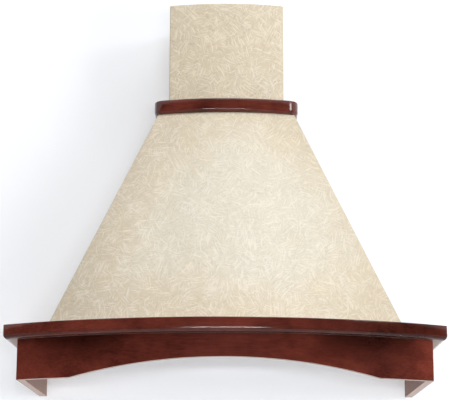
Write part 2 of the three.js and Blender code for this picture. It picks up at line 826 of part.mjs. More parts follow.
// A square pad with a chamfered face, and a flange behind the bezel that keeps it in.
function makeButton(name, x, bezelBottom, bezelTop) {
  const y = -controlDistance;
  const face = bezelBottom - buttonStandOut;
  const square = (half) => points([x - half, y - half], [x + half, y - half], [x + half, y + half], [x - half, y + half]);
  const half = buttonSize / 2;
  const flange = bezelTop + gap;
  const body = loft([
    { z: face, ring: square(half - buttonChamfer) },
    { z: face + buttonChamfer, ring: square(half) },
    { z: flange, ring: square(half) },
  ]).add(upright(square(flangeHalf), flange, flange + sheet));
  add(name, body, darkPlastic);
}
function makeControls() {
  const top = linerBottom - gap;
  const bottom = top - bezelThickness;
  const y = -controlDistance;
  const half = controlHalfLength + bezelMargin;
  const depth = buttonSize / 2 + bezelMargin;
  let bezel = box(-half, half, y - depth, y + depth, bottom, top);
  for (let i = 0; i < buttonCount; i++) {
    const x = (i - (buttonCount - 1) / 2) * buttonPitch;
    bezel = bezel.subtract(
      box(x - buttonHole, x + buttonHole, y - buttonHole, y + buttonHole, bottom - cut, top + cut),
    );
    makeButton(`button_${i + 1}`, x, bottom, top);
  }
  add("control_bezel", bezel, darkPlastic);

  const foot = linerTop + gap;
  const roof = top + gap + sheet + buttonTravel + gap;
  const inside = controlHalfLength - buttonSize / 2 + flangeHalf + gap;
  const outside = inside + switchBlockWall;
  const insideDepth = flangeHalf + gap;
  const outsideDepth = insideDepth + switchBlockWall;
  const block = box(-outside, outside, y - outsideDepth, y + outsideDepth, foot, foot + switchBlockHeight).subtract(
    box(-inside, inside, y - insideDepth, y + insideDepth, foot - cut, roof),
  );
  add("switch_block", block, darkPlastic);
}

// ---------------------------------------------------------------- extractor: blower

const scrollTop = caseTop - sheet - gap;
const blowerHeight = scrollTop - scrollNeck - scrollStart;
const blowerAxis = [-blowerDistance, blowerHeight];
const scrollHalf = scrollWidth / 2;

// The scroll seen from the side, in Y and Z: a spiral that widens from its tongue, over the front and
// below the impeller to the rear, and runs straight up there into the outlet.
function scrollShape(wall, top) {
  const shape = new THREE.Shape();
  shape.moveTo(wall - blowerDistance, top);
  shape.lineTo(wall - blowerDistance, blowerHeight + scrollStart - wall);
  for (let i = 1; i <= scrollSteps; i++) {
    const angle = (i / scrollSteps) * 1.5 * Math.PI;
    const radius = THREE.MathUtils.lerp(scrollStart, scrollEnd, i / scrollSteps) - wall;
    shape.lineTo(-blowerDistance - radius * Math.sin(angle), blowerHeight + radius * Math.cos(angle));
  }
  shape.lineTo(scrollEnd - wall - blowerDistance, top);
  return shape;
}
function makeScroll() {
  const housing = alongX(scrollShape(0, scrollTop), -scrollHalf, scrollHalf)
    .subtract(alongX(scrollShape(sheet, scrollTop + cut), sheet - scrollHalf, scrollHalf - sheet))
    .subtract(rod("x", inletRadius, -scrollHalf - cut, scrollHalf + cut, blowerAxis));
  add("scroll_housing", housing, galvanised);
}

// Both ends of the impeller are rings of forward-leaning blades on one back plate.
const backPlateHalf = backPlateThickness / 2;
const shaftStart = -hubLength - backPlateHalf;

function makeImpeller() {
  const half = impellerWidth / 2;
  const eye = impellerRadius - bladeDepth;
  const ring = (x) =>
    rod("x", impellerRadius, x, x + impellerRing, blowerAxis).subtract(
      rod("x", eye, x - cut, x + impellerRing + cut, blowerAxis),
    );
  let wheel = rod("x", impellerRadius - bladeDepth / 2, -backPlateHalf, backPlateHalf, blowerAxis)
    .add(rod("x", hubRadius, shaftStart, 0, blowerAxis))
    .add(ring(-half))
    .add(ring(half - impellerRing));
  for (let i = 0; i < bladeCount; i++) {
    const blade = new THREE.BoxGeometry(impellerWidth - impellerRing, bladeThickness, bladeDepth);
    blade.rotateX(bladeLean);
    blade.translate(0, 0, impellerRadius - bladeDepth / 2 - bladeThickness / 2);
    blade.rotateX((i / bladeCount) * 2 * Math.PI);
    blade.translate(0, ...blowerAxis);
    wheel = wheel.add(solid(blade));
  }
  const bore = rod("x", shaftRadius + gap, shaftStart - cut, backPlateHalf + cut, blowerAxis, smallFacets);
  add("impeller", wheel.subtract(bore), darkPlastic);
  add("motor_shaft", rod("x", shaftRadius, shaftStart, shaftStart + shaftLength, blowerAxis, smallFacets), steel);
}
function makeMotor() {
  const start = backPlateHalf + motorClearance;
  const end = scrollHalf + motorOverhang;
  const shaftEnd = shaftStart + shaftLength;
  const body = rod("x", motorRadius, start + motorBossLength, end, blowerAxis)
    .add(rod("x", motorBossRadius, start, start + motorBossLength + cut, blowerAxis))
    .subtract(rod("x", shaftRadius + gap, start - cut, shaftEnd + gap, blowerAxis, smallFacets));
  add("motor", body, steel);

  // Three arms carry the motor across the inlet.
  const inner = scrollHalf + gap;
  const outer = inner + bracketThickness;
  const bore = motorRadius + gap;
  const armLength = inletRadius + bracketLap - bore;
  let bracket = rod("x", bore + bracketRing, inner, outer, blowerAxis);
  for (let i = 0; i < 3; i++) {
    const arm = new THREE.BoxGeometry(bracketThickness, bracketArmWidth, armLength);
    arm.translate((inner + outer) / 2, 0, bore + armLength / 2);
    arm.rotateX((i / 3) * 2 * Math.PI);
    arm.translate(0, ...blowerAxis);
    bracket = bracket.add(solid(arm));
  }
  add("motor_bracket", bracket.subtract(rod("x", bore, inner - cut, outer + cut, blowerAxis)), galvanised);
}

// ---------------------------------------------------------------- extractor: spigot, damper and wiring

function makeSpigot() {
  const foot = caseTop + gap;
  const bore = ductRadius - sheet;
  const profile = [
    [bore, foot],
    [ductRadius + spigotFlange, foot],
    [ductRadius + spigotFlange, foot + sheet],
    [ductRadius, foot + sheet],
    [ductRadius, foot + spigotHeight],
    [bore, foot + spigotHeight],
    [bore, foot],
  ];
  const pin = (radius, reach) =>
    rod("y", radius, -ductDistance - reach, -ductDistance + reach, [0, pinHeight], smallFacets);
  const tube = turned(profile, 0, -ductDistance).subtract(pin(pinRadius + gap, ductRadius + cut));
  add("duct_spigot", tube, galvanised);
  add("damper_pin", pin(pinRadius, ductRadius + pinEnd), steel);
}
// Each flap is a half disc with two knuckles on the pin, between the other flap's knuckles.
function makeDamper() {
  const radius = ductRadius - sheet - flapClearance;
  const knuckle = pinRadius + gap + knuckleWall;
  const under = pinHeight - flapThickness / 2;
  const over = pinHeight + flapThickness / 2;
  const disc = rod("z", radius, under, over, [0, -ductDistance]);
  const half = disc.subtract(box(-far, knuckle + gap, -far, far, under - cut, over + cut));
  const bore = rod("y", pinRadius + gap, -far, far, [0, pinHeight], smallFacets);
  const flap = (places) => {
    let body = half;
    for (const place of places) {
      const y0 = -ductDistance + place * knucklePitch - knuckleLength / 2;
      const y1 = y0 + knuckleLength;
      body = body.add(rod("y", knuckle, y0, y1, [0, pinHeight], smallFacets));
      body = body.add(box(0, knuckle + gap + cut, y0, y1, under, over));
    }
    return body.subtract(bore);
  };
  add("damper_flap_right", flap([-1.5, 0.5]), aluminium);
  add("damper_flap_left", mirrored(flap([-0.5, 1.5])), aluminium);
}
function makeTerminalBox() {
  const foot = caseTop + gap;
  const x1 = caseHalfWidth - terminalBoxInset;
  const x0 = x1 - terminalBoxWidth;
  const y0 = -ductDistance - terminalBoxDepth / 2;
  const y1 = y0 + terminalBoxDepth;
  const top = foot + terminalBoxHeight;
  const lid = terminalLidOverhang;
  const body = box(x0, x1, y0, y1, foot, top).add(
    box(x0 - lid, x1 + lid, y0 - lid, y1 + lid, top - terminalLidHeight, top),
  );
  add("terminal_box", body, darkPlastic);
}

makeSkirt();
makeShelf();
makeCanopy();
makeCollar();
makeChimney();
makeInnerChimney();
makeBattens();
makePosts();
makeRearFrame();
makeNeckBoard();
makeCleat();
makeLiner();
makeCase();
for (const [name, side] of sides) {
  makeFilter(name, side * filterCentre);
  makeLamp(name, side * lampOffset);
}
makeControls();
makeScroll();
makeImpeller();
makeMotor();
makeSpigot();
makeDamper();
makeTerminalBox();

export default hood;
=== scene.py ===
"""Dresses the frame of a bow-fronted wooden cooker hood, and sets it against a white wall.

The file is laid out as an add-on: properties that hold sizes and colours, an operator for each group of
like pieces and one for the stage, and a panel that lists them. Run as a script, it makes everything once.
Lengths are in metres, in the frame's own axes: X to the right, Y towards the wall and Z up. The wall is
the plane Y = 0.
"""

import json
import math
from typing import NamedTuple

import bmesh
import bpy
from mathutils import Matrix, Vector


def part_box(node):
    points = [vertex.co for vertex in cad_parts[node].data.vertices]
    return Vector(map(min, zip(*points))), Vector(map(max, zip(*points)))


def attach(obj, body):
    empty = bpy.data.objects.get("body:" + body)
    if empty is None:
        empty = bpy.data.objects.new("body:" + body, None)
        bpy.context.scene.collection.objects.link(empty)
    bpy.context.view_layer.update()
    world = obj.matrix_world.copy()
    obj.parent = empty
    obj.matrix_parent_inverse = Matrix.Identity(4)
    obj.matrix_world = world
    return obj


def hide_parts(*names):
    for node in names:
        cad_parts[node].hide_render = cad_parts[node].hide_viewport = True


bl_info = {
    "name": "Wooden cooker hood",
    "version": (1, 0, 0),
    "blender": (4, 5, 0),
    "location": "3D View > Sidebar > Cooker hood",
    "description": "Finishes for the frame of a bow-fronted wooden cooker hood",
    "category": "Object",
}

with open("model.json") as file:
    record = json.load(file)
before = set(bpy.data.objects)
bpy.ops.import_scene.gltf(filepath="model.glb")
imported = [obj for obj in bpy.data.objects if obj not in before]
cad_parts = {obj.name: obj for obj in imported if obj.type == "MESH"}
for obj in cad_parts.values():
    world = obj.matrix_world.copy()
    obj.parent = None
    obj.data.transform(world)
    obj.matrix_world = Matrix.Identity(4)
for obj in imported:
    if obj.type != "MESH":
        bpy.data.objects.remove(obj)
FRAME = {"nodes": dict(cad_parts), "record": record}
NODES = FRAME["nodes"]
BODY_OF = {node: body for body, nodes in FRAME["record"]["behaviour"]["bodies"].items() for node in nodes}
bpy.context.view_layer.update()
SIDES = ("left", "right")
QUARTER = math.pi / 2


def shade(red, green, blue):
    """A colour written as a screen shows it, 0 to 255, as the linear colour that Blender works with."""
    linear = []
    for value in (red, green, blue):
        share = value / 255
        linear.append(share / 12.92 if share <= 0.04045 else ((share + 0.055) / 1.055) ** 2.4)
    return (*linear, 1.0)


# ---- node trees


def both_ways(operation):
    """A Python operator's plain and reflected forms, as Math nodes of one operation."""
    return (
        lambda self, other: calculate(operation, self, other),
        lambda self, other: calculate(operation, other, self),
    )


class Value:
    """A node's output. Python's operators on it add Math nodes to its tree."""

    __add__, __radd__ = both_ways("ADD")
    __sub__, __rsub__ = both_ways("SUBTRACT")
    __mul__, __rmul__ = both_ways("MULTIPLY")
    __truediv__, __rtruediv__ = both_ways("DIVIDE")

    def __init__(self, socket):
        self.socket = socket

    def __getitem__(self, name):
        return Value(self.socket.node.outputs[name])

    def __abs__(self):
        return calculate("ABSOLUTE", self)


def calculate(operation, *operands):
    """A Math node on values and numbers, of which at least one is a value."""
    tree = next(operand.socket.id_data for operand in operands if isinstance(operand, Value))
    node = tree.nodes.new("ShaderNodeMath")
    node.operation = operation
    for socket, operand in zip(node.inputs, operands):
        connect(socket, operand)
    return Value(node.outputs[0])


def largest(first, *others):
    """The largest of a value and other values or numbers."""
    for other in others:
        first = calculate("MAXIMUM", first, other)
    return first


def smallest(first, second):
    return calculate("MINIMUM", first, second)


def connect(socket, value):
    """Links a value to a socket, or sets the socket to a plain number, colour or data-block."""
    if isinstance(value, Value):
        socket.id_data.links.new(value.socket, socket)
    else:
        socket.default_value = value


class Tree:
    """A node tree under construction."""

    def __init__(self, tree):
        self.tree = tree
        tree.nodes.clear()

    def node(self, kind, settings=None, sockets=None):
        """Adds a node of any kind. Its settings are set first, then its sockets by name or number."""
        node = self.tree.nodes.new(kind)
        for name, value in (settings or {}).items():
            setattr(node, name, value)
        for name, value in (sockets or {}).items():
            connect(node.inputs[name], value)
        return Value(node.outputs[0]) if node.outputs else node

    def split(self, vector):
        """A vector's parts, to be had by name."""
        return self.node("ShaderNodeSeparateXYZ", None, {0: vector})

    def join(self, x, y, z):
        """A vector, or a colour, of three parts."""
        return self.node("ShaderNodeCombineXYZ", None, {0: x, 1: y, 2: z})

    def vector(self, operation, first, second):
        """Vector Math on two vectors."""
        return self.node("ShaderNodeVectorMath", {"operation": operation}, {0: first, 1: second})

    def mix(self, first, second, factor):
        """A colour between two colours."""
        sockets = {0: factor, 6: first, 7: second}
        return self.node("ShaderNodeMix", {"data_type": "RGBA"}, sockets)[2]

    def tint(self, colour, factor):
        """A colour with each of its channels multiplied by one value."""
        settings = {"data_type": "RGBA", "blend_type": "MULTIPLY"}
        sockets = {0: 1.0, 6: colour, 7: self.join(factor, factor, factor)}
        return self.node("ShaderNodeMix", settings, sockets)[2]

    def step(self, value, low, high, start=0.0, end=1.0):
        """A value that goes smoothly from start to end while another goes from low to high."""
        sockets = dict(enumerate((value, low, high, start, end)))
        return self.node("ShaderNodeMapRange", {"interpolation_type": "SMOOTHSTEP"}, sockets)

    def noise(self, place, scale, detail=2.0, roughness=0.5, distortion=0.0):
        """Soft noise from 0 to 1 at a place."""
        sockets = {"Vector": place, "Scale": scale, "Detail": detail, "Roughness": roughness}
        return self.node("ShaderNodeTexNoise", None, {**sockets, "Distortion": distortion})

    def cells(self, place, scale, randomness=1.0, feature="F1", dimensions="3D"):
        """Distance to the nearest cell's point, or edge, with that cell's colour and point."""
        settings = {"voronoi_dimensions": dimensions, "feature": feature}
        sockets = {"Vector": place, "Scale": scale, "Randomness": randomness}
        return self.node("ShaderNodeTexVoronoi", settings, sockets)

    def place(self, stretch=(1.0, 1.0, 1.0)):
        """Object coordinates, with each axis multiplied by a number."""
        return self.vector("MULTIPLY", self.node("ShaderNodeTexCoord")["Object"], stretch)

    def surface_place(self):
        """A piece's own flat coordinates, in metres."""
        return self.node("ShaderNodeUVMap", {"uv_map": "surface"})

    def surface(self, colour, roughness, constants=None, height=None, relief=0.0):
        """The shader and output. Height is in parts of the relief, which is in metres."""
        sockets = {"Base Color": colour, "Roughness": roughness, **(constants or {})}
        if height is not None:
            bump = {"Strength": 1.0, "Distance": relief, "Height": height}
            sockets["Normal"] = self.node("ShaderNodeBump", None, bump)
        self.finish(self.node("ShaderNodeBsdfPrincipled", None, sockets))

    def finish(self, shader):
        """Ends a material in a shader."""
        self.node("ShaderNodeOutputMaterial", None, {"Surface": shader})


MATERIALS = {}


def material(make):
    """Keeps a material from one call of its maker to the next with the same arguments."""

    def kept(*details):
        name = "_".join([make.__name__, *map(str, details)])
        if name not in MATERIALS:
            made = bpy.data.materials.new(name)
            made.use_nodes = True
            make(Tree(made.node_tree), *details)
            MATERIALS[name] = made
        return MATERIALS[name]

    return kept


# ---- settings


def number(name, description, default, unit):
    return bpy.props.FloatProperty(name=name, description=description, default=default, min=0.0, unit=unit)


def length(name, description, default):
    return number(name, description, default, "LENGTH")


def power(name, description, default):
    return number(name, description, default, "POWER")


def colour(name, description, default):
    return bpy.props.FloatVectorProperty(
        name=name, description=description, default=default, size=4, min=0.0, max=1.0, subtype="COLOR"
    )


class HoodSizes(bpy.types.PropertyGroup):
    """Sizes that the frame's boxes don't tell."""

    shelf_bow: length("Shelf bow", "How far the shelf's middle stands in front of its corners", 0.127)
    shelf_board: length("Shelf board", "Width of the shelf's boards", 0.126)
    shelf_corner: length("Shelf corner", "Radius of the shelf's corners, seen from above", 0.003)
    shelf_round: length("Shelf round", "Rounding of the shelf's lower edge", 0.010)
    shelf_arris: length("Shelf arris", "Rounding of the shelf's upper edge", 0.0015)
    chimney_bow: length("Chimney bow", "How far the chimney's middle stands in front of its corners", 0.017)
    panel_corner: length("Panel corner", "Radius of the canopy's and chimney's corners", 0.004)
    collar_corner: length("Collar corner", "Radius of the collar's corners, seen from above", 0.026)
    collar_round: length("Collar round", "Rounding of the collar's lower edge", 0.007)
    collar_arris: length("Collar arris", "Rounding of the collar's upper edge", 0.002)
    skirt_board: length("Skirt board", "Thickness of the skirt's boards", 0.016)
    canopy_panel: length("Canopy panel", "Thickness of the canopy's panels", 0.010)
    chimney_panel: length("Chimney panel", "Thickness of the chimney's panels", 0.009)
    skirt_corner: length("Skirt corner", "Radius of the skirt's corners", 0.001)
    arch_half_width: length("Arch half width", "Middle of the arch to where it starts", 0.311)
    arch_rise: length("Arch rise", "How far the arch rises above the skirt's foot", 0.036)
    arch_sweep: length("Arch sweep", "Radius of the reverse curves at the arch's ends", 0.030)
    softening: length("Softening", "Rounding of the edges of boards and panels", 0.0006)
    fine_softening: length("Fine softening", "Rounding of the ends of the shelf and collar", 0.0002)


class HoodColours(bpy.types.PropertyGroup):
    """Colours of the finishes."""

    stain: colour("Stain", "Dark cherry stain", shade(92, 41, 32))
    # The sealed and foot colours are painted darker on inner faces, as painted shade, and much lighter on
    # faces that look down, as painted light from below.
    sealed: colour("Sealed", "Inner faces of the stained boards", shade(200, 150, 130))
    foot: colour("Foot", "Undersides of the stained boards", shade(200, 176, 164))
    # The coating colour is painted paler in the canopy's middle, as painted sheen; the next colour is its
    # warmer, darker tone, used for random clouds and as painted shade at the canopy's edges and on the whole
    # chimney.
    coating: colour("Coating", "Pale coating in the middle of the canopy", shade(206, 198, 180))
    aged: colour("Aged", "Coating towards the canopy's edges, and on the chimney", shade(202, 187, 160))
    strand: colour("Strand", "Pale strands in the coating", shade(226, 220, 206))
    softwood: colour("Softwood", "Planed battens and rails", shade(205, 170, 125))
    plywood: colour("Plywood", "Neck board", shade(214, 184, 140))
    steel: colour("Steel", "Liner plate and lamp rims", shade(196, 197, 198))
    zinc: colour("Zinc", "Case, blower housing and duct", shade(176, 181, 184))
    aluminium: colour("Aluminium", "Filters and damper", shade(208, 209, 211))
    plastic: colour("Plastic", "Buttons, bezel and switch block", shade(38, 38, 40))
    marks: colour("Marks", "Marks on the buttons", shade(205, 207, 208))
    glass: colour("Glass", "Frosted lamp glass", shade(244, 243, 238))


class HoodStage(bpy.types.PropertyGroup):
    """The camera's surroundings and the lights."""

    key: power("Key", "Softbox on the right", 24.0)
    side: power("Side", "Low light on the right", 28.0)
    top: power("Top", "Light from above, in front", 41.0)
    front: power("Front", "Wide low light behind the camera", 38.0)
    fill: power("Fill", "Soft light on the left", 24.0)
    rear: power("Rear", "Light behind the wall, for views from behind", 45.0)
    wall: power("Wall", "Light at the foot of the wall", 10.0)
    sky: number("Sky", "Light from all round", 0.14, "NONE")
    floor_level: bpy.props.FloatProperty(
        name="Floor level", description="Height of the floor", default=-2.0, unit="LENGTH"
    )


def sizes():
    return bpy.context.scene.hood_sizes


def paint(name):
    """One of the colours, as a node's socket takes it."""
    return tuple(getattr(bpy.context.scene.hood_colours, name))


def grained(axis, along, across):
    """How much each axis is stretched for a grain that runs along one of them."""
    return [along if name == axis else across for name in "XYZ"]


# ---- finishes


LACQUER = {"collar": 0.45, "shelf": 0.50, None: 0.32}


@material
def stained_wood(tree, grain, board=None):
    """Dark cherry stain under a gloss lacquer. The grain runs along one axis, and faces marked bare are only
    sealed: those that face down take a paler colour and are painted much lighter, as painted light from
    below, and the inner faces are painted darker, as painted shade. The valance is painted darker along its
    top, most of it beside the arch's middle, as painted shadow under the shelf, and the shelf's lower round
    is painted darker, as painted shade. Both boards are painted lighter towards their left ends, the valance
    also at its right end, and the shelf is painted darker towards the right: painted light and shade. The
    shelf and collar have more lacquer."""
    stretch = grained(grain, along=7.0, across=330.0)
    fibres = tree.noise(tree.place(stretch), 1.0, 5.0, 0.65)
    figure = tree.noise(tree.place([value / 8 for value in stretch]), 1.0, 3.0, 0.55, 0.5)
    blotch = tree.noise(tree.place(), 11.0, 4.0, 0.62)
    strength = 1.15 * fibres + 0.95 * figure + 1.9 * blotch - 1.05
    where = tree.split(tree.place())
    if board == "valance":
        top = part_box("valance")[1].z
        middle, darkest, depth = -0.01, 0.28, 0.070
        aside = abs(abs(where["X"] - middle) - darkest)
        # Painted shadow of the shelf along the valance's top, darkest beside the arch's middle.
        painted_shadow_under_shelf = tree.step(where["Z"] + 0.02 * blotch, top - depth, top + 0.005)
        strength = strength * (1.0 - painted_shadow_under_shelf * tree.step(aside, 0.03, 0.15, 0.74, 0.14))
        # Painted light: the valance is lighter at its right end.
        strength = strength * tree.step(where["X"], 0.35, 0.43, 1.0, 1.60)
    if board == "shelf":
        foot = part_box("shelf_front")[0].z
        # Painted shade: the shelf's lower round is darker.
        strength = strength * tree.step(where["Z"], foot + 0.006, foot + 0.012, 0.75, 1.0)
        # Painted shade: the shelf is darker towards its right.
        strength = strength * tree.step(where["X"], 0.02, 0.28, 1.0, 0.62)
    if board in ("valance", "shelf"):
        # Painted light: both boards are lighter towards their left ends.
        strength = strength * tree.step(where["X"], -0.40, -0.10, 1.40, 1.0)
    stain = tree.tint(paint("stain"), strength)
    facing = tree.split(tree.node("ShaderNodeTexCoord")["Normal"])["Z"]
    # Faces that look down take the paler foot colour and the tint paints them much lighter, as painted light
    # from below; the inner faces are painted darker, as painted shade.
    under = tree.step(facing, -0.7, -0.5, 1.0, 0.0)
    inside = tree.mix(paint("sealed"), paint("foot"), under)
    sealed = tree.tint(inside, 0.26 + 0.41 * under + 0.16 * fibres + 0.12 * figure)
    bare = tree.node("ShaderNodeAttribute", {"attribute_name": "bare"})["Fac"]
    roughness = 0.08 + 0.06 * fibres + 0.5 * bare
    gloss = {"Specular IOR Level": LACQUER.get(board, LACQUER[None])}
    tree.surface(tree.mix(stain, sealed, bare), roughness, gloss, fibres, relief=0.00002)


def strands(tree, place, patch, width, reach, seed):
    """One layer of short curved strands, laid side by side in patches that each lie at their own angle."""
    moved = tree.vector("ADD", place, (seed * 1.37, seed * 0.73, 0.0))
    cells = tree.cells(moved, 1 / patch, dimensions="2D")
    draw = tree.split(cells["Color"])
    local = tree.split(tree.vector("SUBTRACT", moved, cells["Position"]))
    angle = draw["X"] * math.tau
    sine = calculate("SINE", angle)
    cosine = calculate("COSINE", angle)
    along = local["X"] * cosine + local["Y"] * sine
    curl, apart_along, apart_across = 18, 60, 90  # apart: no two patches show the same noise
    bend = (draw["Y"] - 0.5) * curl
    across = local["Y"] * cosine - local["X"] * sine + bend * along * along
    lengthwise = along / reach + draw["Z"] * apart_along
    crosswise = across / width + draw["Y"] * apart_across
    lines = tree.join(lengthwise, crosswise, 0.0)
    sockets = {"Vector": lines, "Scale": 1.0, "Detail": 1.0}
    streaks = tree.node("ShaderNodeTexNoise", {"noise_dimensions": "2D"}, sockets)
    fade = tree.step(cells["Distance"], 0.3, 0.75, 1.0, 0.0)
    return tree.step(streaks, 0.55, 0.69) * fade


@material
def strand_finish(tree, panel):
    """A pale coating with patches of short strands in it, over a fine grit and a soft cloudiness, with random
    clouds of a warmer tone. On the canopy the coating is painted paler a little right of the middle, as
    painted sheen, and warmer and darker towards all its edges, as painted shade. The chimney is painted in
    that darker warm tone all over, as painted shade, and has bolder strands. Faces marked bare show the
    plywood behind it."""
    contrast = 1.0 if panel == "canopy" else 1.9
    place = tree.surface_place()
    layers = ((0.030, 0.0028, 0.032), (0.022, 0.0025, 0.025), (0.040, 0.0032, 0.042))
    raised = largest(*[strands(tree, place, *layer, seed) for seed, layer in enumerate(layers, 1)])
    sunk = strands(tree, place, 0.030, 0.0030, 0.030, 4)
    grit = tree.noise(tree.place(), 300.0, 2.0, 0.7)
    cloud = tree.noise(tree.place(), 26.0, 2.0, 0.5)
    streaked = 0.04 * contrast * raised - 0.07 * contrast * sunk
    # The base is lower for the chimney, which paints it a little darker: painted shade.
    strength = 0.99 - 0.03 * contrast + streaked + 0.40 * (grit - 0.5) + 0.14 * (cloud - 0.5)
    # Random clouds of the warm tone; on the canopy painted shade is added towards the edges, and the chimney
    # takes the shaded tone all over.
    clouds_and_shade = 1.4 * (tree.noise(tree.place(), 15.0, 3.0, 0.6) - 0.5)
    if panel == "canopy":
        where = tree.split(tree.place())
        low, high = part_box("canopy_front")
        level = (where["Z"] - low.z) / (high.z - low.z)
        half = high.x - level * (high.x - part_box("chimney_front")[1].x)
        # The painted sheen's middle lies right of the canopy's centre, where the lamps fall most.
        shift, squeeze = 0.18, 2.2
        beside = where["X"] / half - shift
        above = squeeze * (level - 0.5)
        outward = beside * beside + above * above
        clouds_and_shade = clouds_and_shade + tree.step(outward, 0.0, 1.3)
        # Painted shade: the canopy is darker towards its edges.
        strength = strength * tree.step(outward, 0.5, 2.0, 1.0, 0.91)
    else:
        # The chimney takes the warm painted-shade tone all over.
        clouds_and_shade = clouds_and_shade + 1.0
    coat = tree.tint(tree.mix(paint("coating"), paint("aged"), clouds_and_shade), strength)
    coat = tree.mix(coat, paint("strand"), 0.38 * raised)
    ply = tree.tint(paint("plywood"), 0.9 + 0.2 * grit)
    bare = tree.node("ShaderNodeAttribute", {"attribute_name": "bare"})["Fac"]
    height = raised - 0.6 * sunk + 0.4 * grit
    roughness = 0.50 - 0.06 * raised + 0.2 * bare
    tree.surface(tree.mix(coat, ply, bare), roughness, {"Specular IOR Level": 1.0}, height, relief=0.00012)


@material
def bare_wood(tree, grain):
    """Planed softwood: bands of late wood along one axis, and fine fibres."""
    stretch = grained(grain, along=2.2, across=70.0)
    place = tree.place(stretch)
    bands = tree.noise(place, 1.0, 2.0, 0.45, 0.6)
    fibres = tree.noise(tree.place([value * 9 for value in stretch]), 1.0, 3.0, 0.6)
    late = tree.step(bands, 0.52, 0.62)
    colour = tree.tint(paint("softwood"), 0.98 - 0.20 * late + 0.14 * (fibres - 0.5))
    tree.surface(colour, 0.62 + 0.1 * fibres, {"Specular IOR Level": 0.25}, fibres, relief=0.00008)


@material
def plywood(tree):
    """Birch plywood: a mild figure on the faces, and plies with crossed grain on the edges."""
    low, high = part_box("neck_board")
    height = tree.split(tree.node("ShaderNodeTexCoord")["Object"])["Z"]
    count = 5
    ply = calculate("FLOOR", (height - low.z) / ((high.z - low.z) / count + 1e-5))
    dark = calculate("PINGPONG", ply, 1.0)
    figure = tree.noise(tree.place((9.0, 110.0, 110.0)), 1.0, 4.0, 0.6, 0.8)
    fibres = tree.noise(tree.place((60.0, 900.0, 900.0)), 1.0, 2.0, 0.6)
    strength = 0.96 + 0.14 * (figure - 0.5) + 0.10 * (fibres - 0.5) - 0.22 * dark
    colour = tree.tint(paint("plywood"), strength)
    tree.surface(colour, 0.66, {"Specular IOR Level": 0.25}, fibres, relief=0.00006)


@material
def brushed_steel(tree, direction):
    """Stainless sheet, brushed along one axis."""
    brush = tree.noise(tree.place(grained(direction, along=14.0, across=1400.0)), 1.0, 3.0, 0.7)
    smudge = tree.noise(tree.place(), 9.0, 2.0)
    colour = tree.tint(paint("steel"), 0.93 + 0.12 * brush)
    roughness = 0.24 + 0.16 * brush + 0.08 * smudge
    tree.surface(colour, roughness, {"Metallic": 1.0}, brush, relief=0.00001)


@material
def zinc_sheet(tree):
    """Galvanised sheet with the flowers of crystals that a zinc coat has."""
    crystal = tree.split(tree.cells(tree.place(), 75.0)["Color"])
    frost = tree.noise(tree.place(), 420.0, 3.0, 0.6)
    strength = 0.78 + 0.26 * crystal["X"] + 0.10 * frost
    colour = tree.tint(paint("zinc"), strength)
    roughness = 0.36 + 0.20 * crystal["Y"] + 0.06 * frost
    tree.surface(colour, roughness, {"Metallic": 0.9}, frost, relief=0.00002)


@material
def satin_aluminium(tree):
    """Aluminium with a satin drawn surface."""
    drawn = tree.noise(tree.place((30.0, 700.0, 700.0)), 1.0, 3.0, 0.6)
    colour = tree.tint(paint("aluminium"), 0.92 + 0.12 * drawn)
    tree.surface(colour, 0.30 + 0.14 * drawn, {"Metallic": 1.0}, drawn, relief=0.00001)


@material
def filter_weave(tree):
    """Layers of knitted wire seen through each other: wire crossings over gaps painted dark, as painted shade
    where one looks between the wires into the layers behind.
    """
    fine = tree.cells(tree.place((1.0, 0.7, 1.0)), 520.0, 0.8, "DISTANCE_TO_EDGE")
    wire = tree.step(fine, 0.04, 0.16, 1.0, 0.0)
    colour = tree.tint(paint("aluminium"), 0.22 + 0.72 * wire)
    tree.surface(colour, 0.38, {"Metallic": 0.9}, wire, relief=0.0003)


@material
def moulded_plastic(tree):
    """Dark plastic with the fine even texture of a spark-eroded mould."""
    texture = tree.noise(tree.place(), 2600.0, 2.0, 0.6)
    wear = tree.noise(tree.place(), 40.0, 3.0)
    colour = tree.tint(paint("plastic"), 0.9 + 0.2 * texture)
    tree.surface(colour, 0.42 + 0.12 * wear, {"Specular IOR Level": 0.45}, texture, relief=0.00004)


@material
def printed_mark(tree):
    """Pale print on the buttons."""
    speck = tree.noise(tree.place(), 3000.0, 2.0)
    tree.surface(tree.tint(paint("marks"), 0.94 + 0.08 * speck), 0.5)


@material
def frosted_glass(tree):
    """Lamp glass with a moulded pattern of small lenses."""
    lens = tree.cells(tree.place(), 320.0, 0.25)
    colour = tree.tint(paint("glass"), 1.0 - 0.12 * lens)
    tree.surface(colour, 0.28, {"Transmission Weight": 0.35, "IOR": 1.45}, 1.0 - lens, relief=0.0004)


@material
def screw_steel(tree):
    """Bright zinc-plated screw heads."""
    tarnish = tree.noise(tree.place(), 700.0, 3.0)
    colour = tree.tint(paint("steel"), 0.82 + 0.2 * tarnish)
    tree.surface(colour, 0.26 + 0.16 * tarnish, {"Metallic": 1.0}, tarnish, relief=0.00002)


# ---- meshes and pieces


SHARP = math.radians(32)  # edges sharper than this are softened, and flatter ones are shaded smooth
FLAT = math.radians(0.1)  # faces that meet at less than this are one face
HAIR = 1e-6  # metres
SKEWED = Vector((1.0, 0.7319, 0.3571))  # along no axis of symmetry


def stand(name, data):
    """An object in the scene."""
    made = bpy.data.objects.new(name, data)
    bpy.context.scene.collection.objects.link(made)
    return made


def new_mesh(name, points, faces=()):
    mesh = bpy.data.meshes.new(name)
    mesh.from_pydata(points, [], faces)
    return mesh


def merge(shape):
    """Joins points that lie less than a hair apart."""
    bmesh.ops.remove_doubles(shape, verts=shape.verts, dist=HAIR)


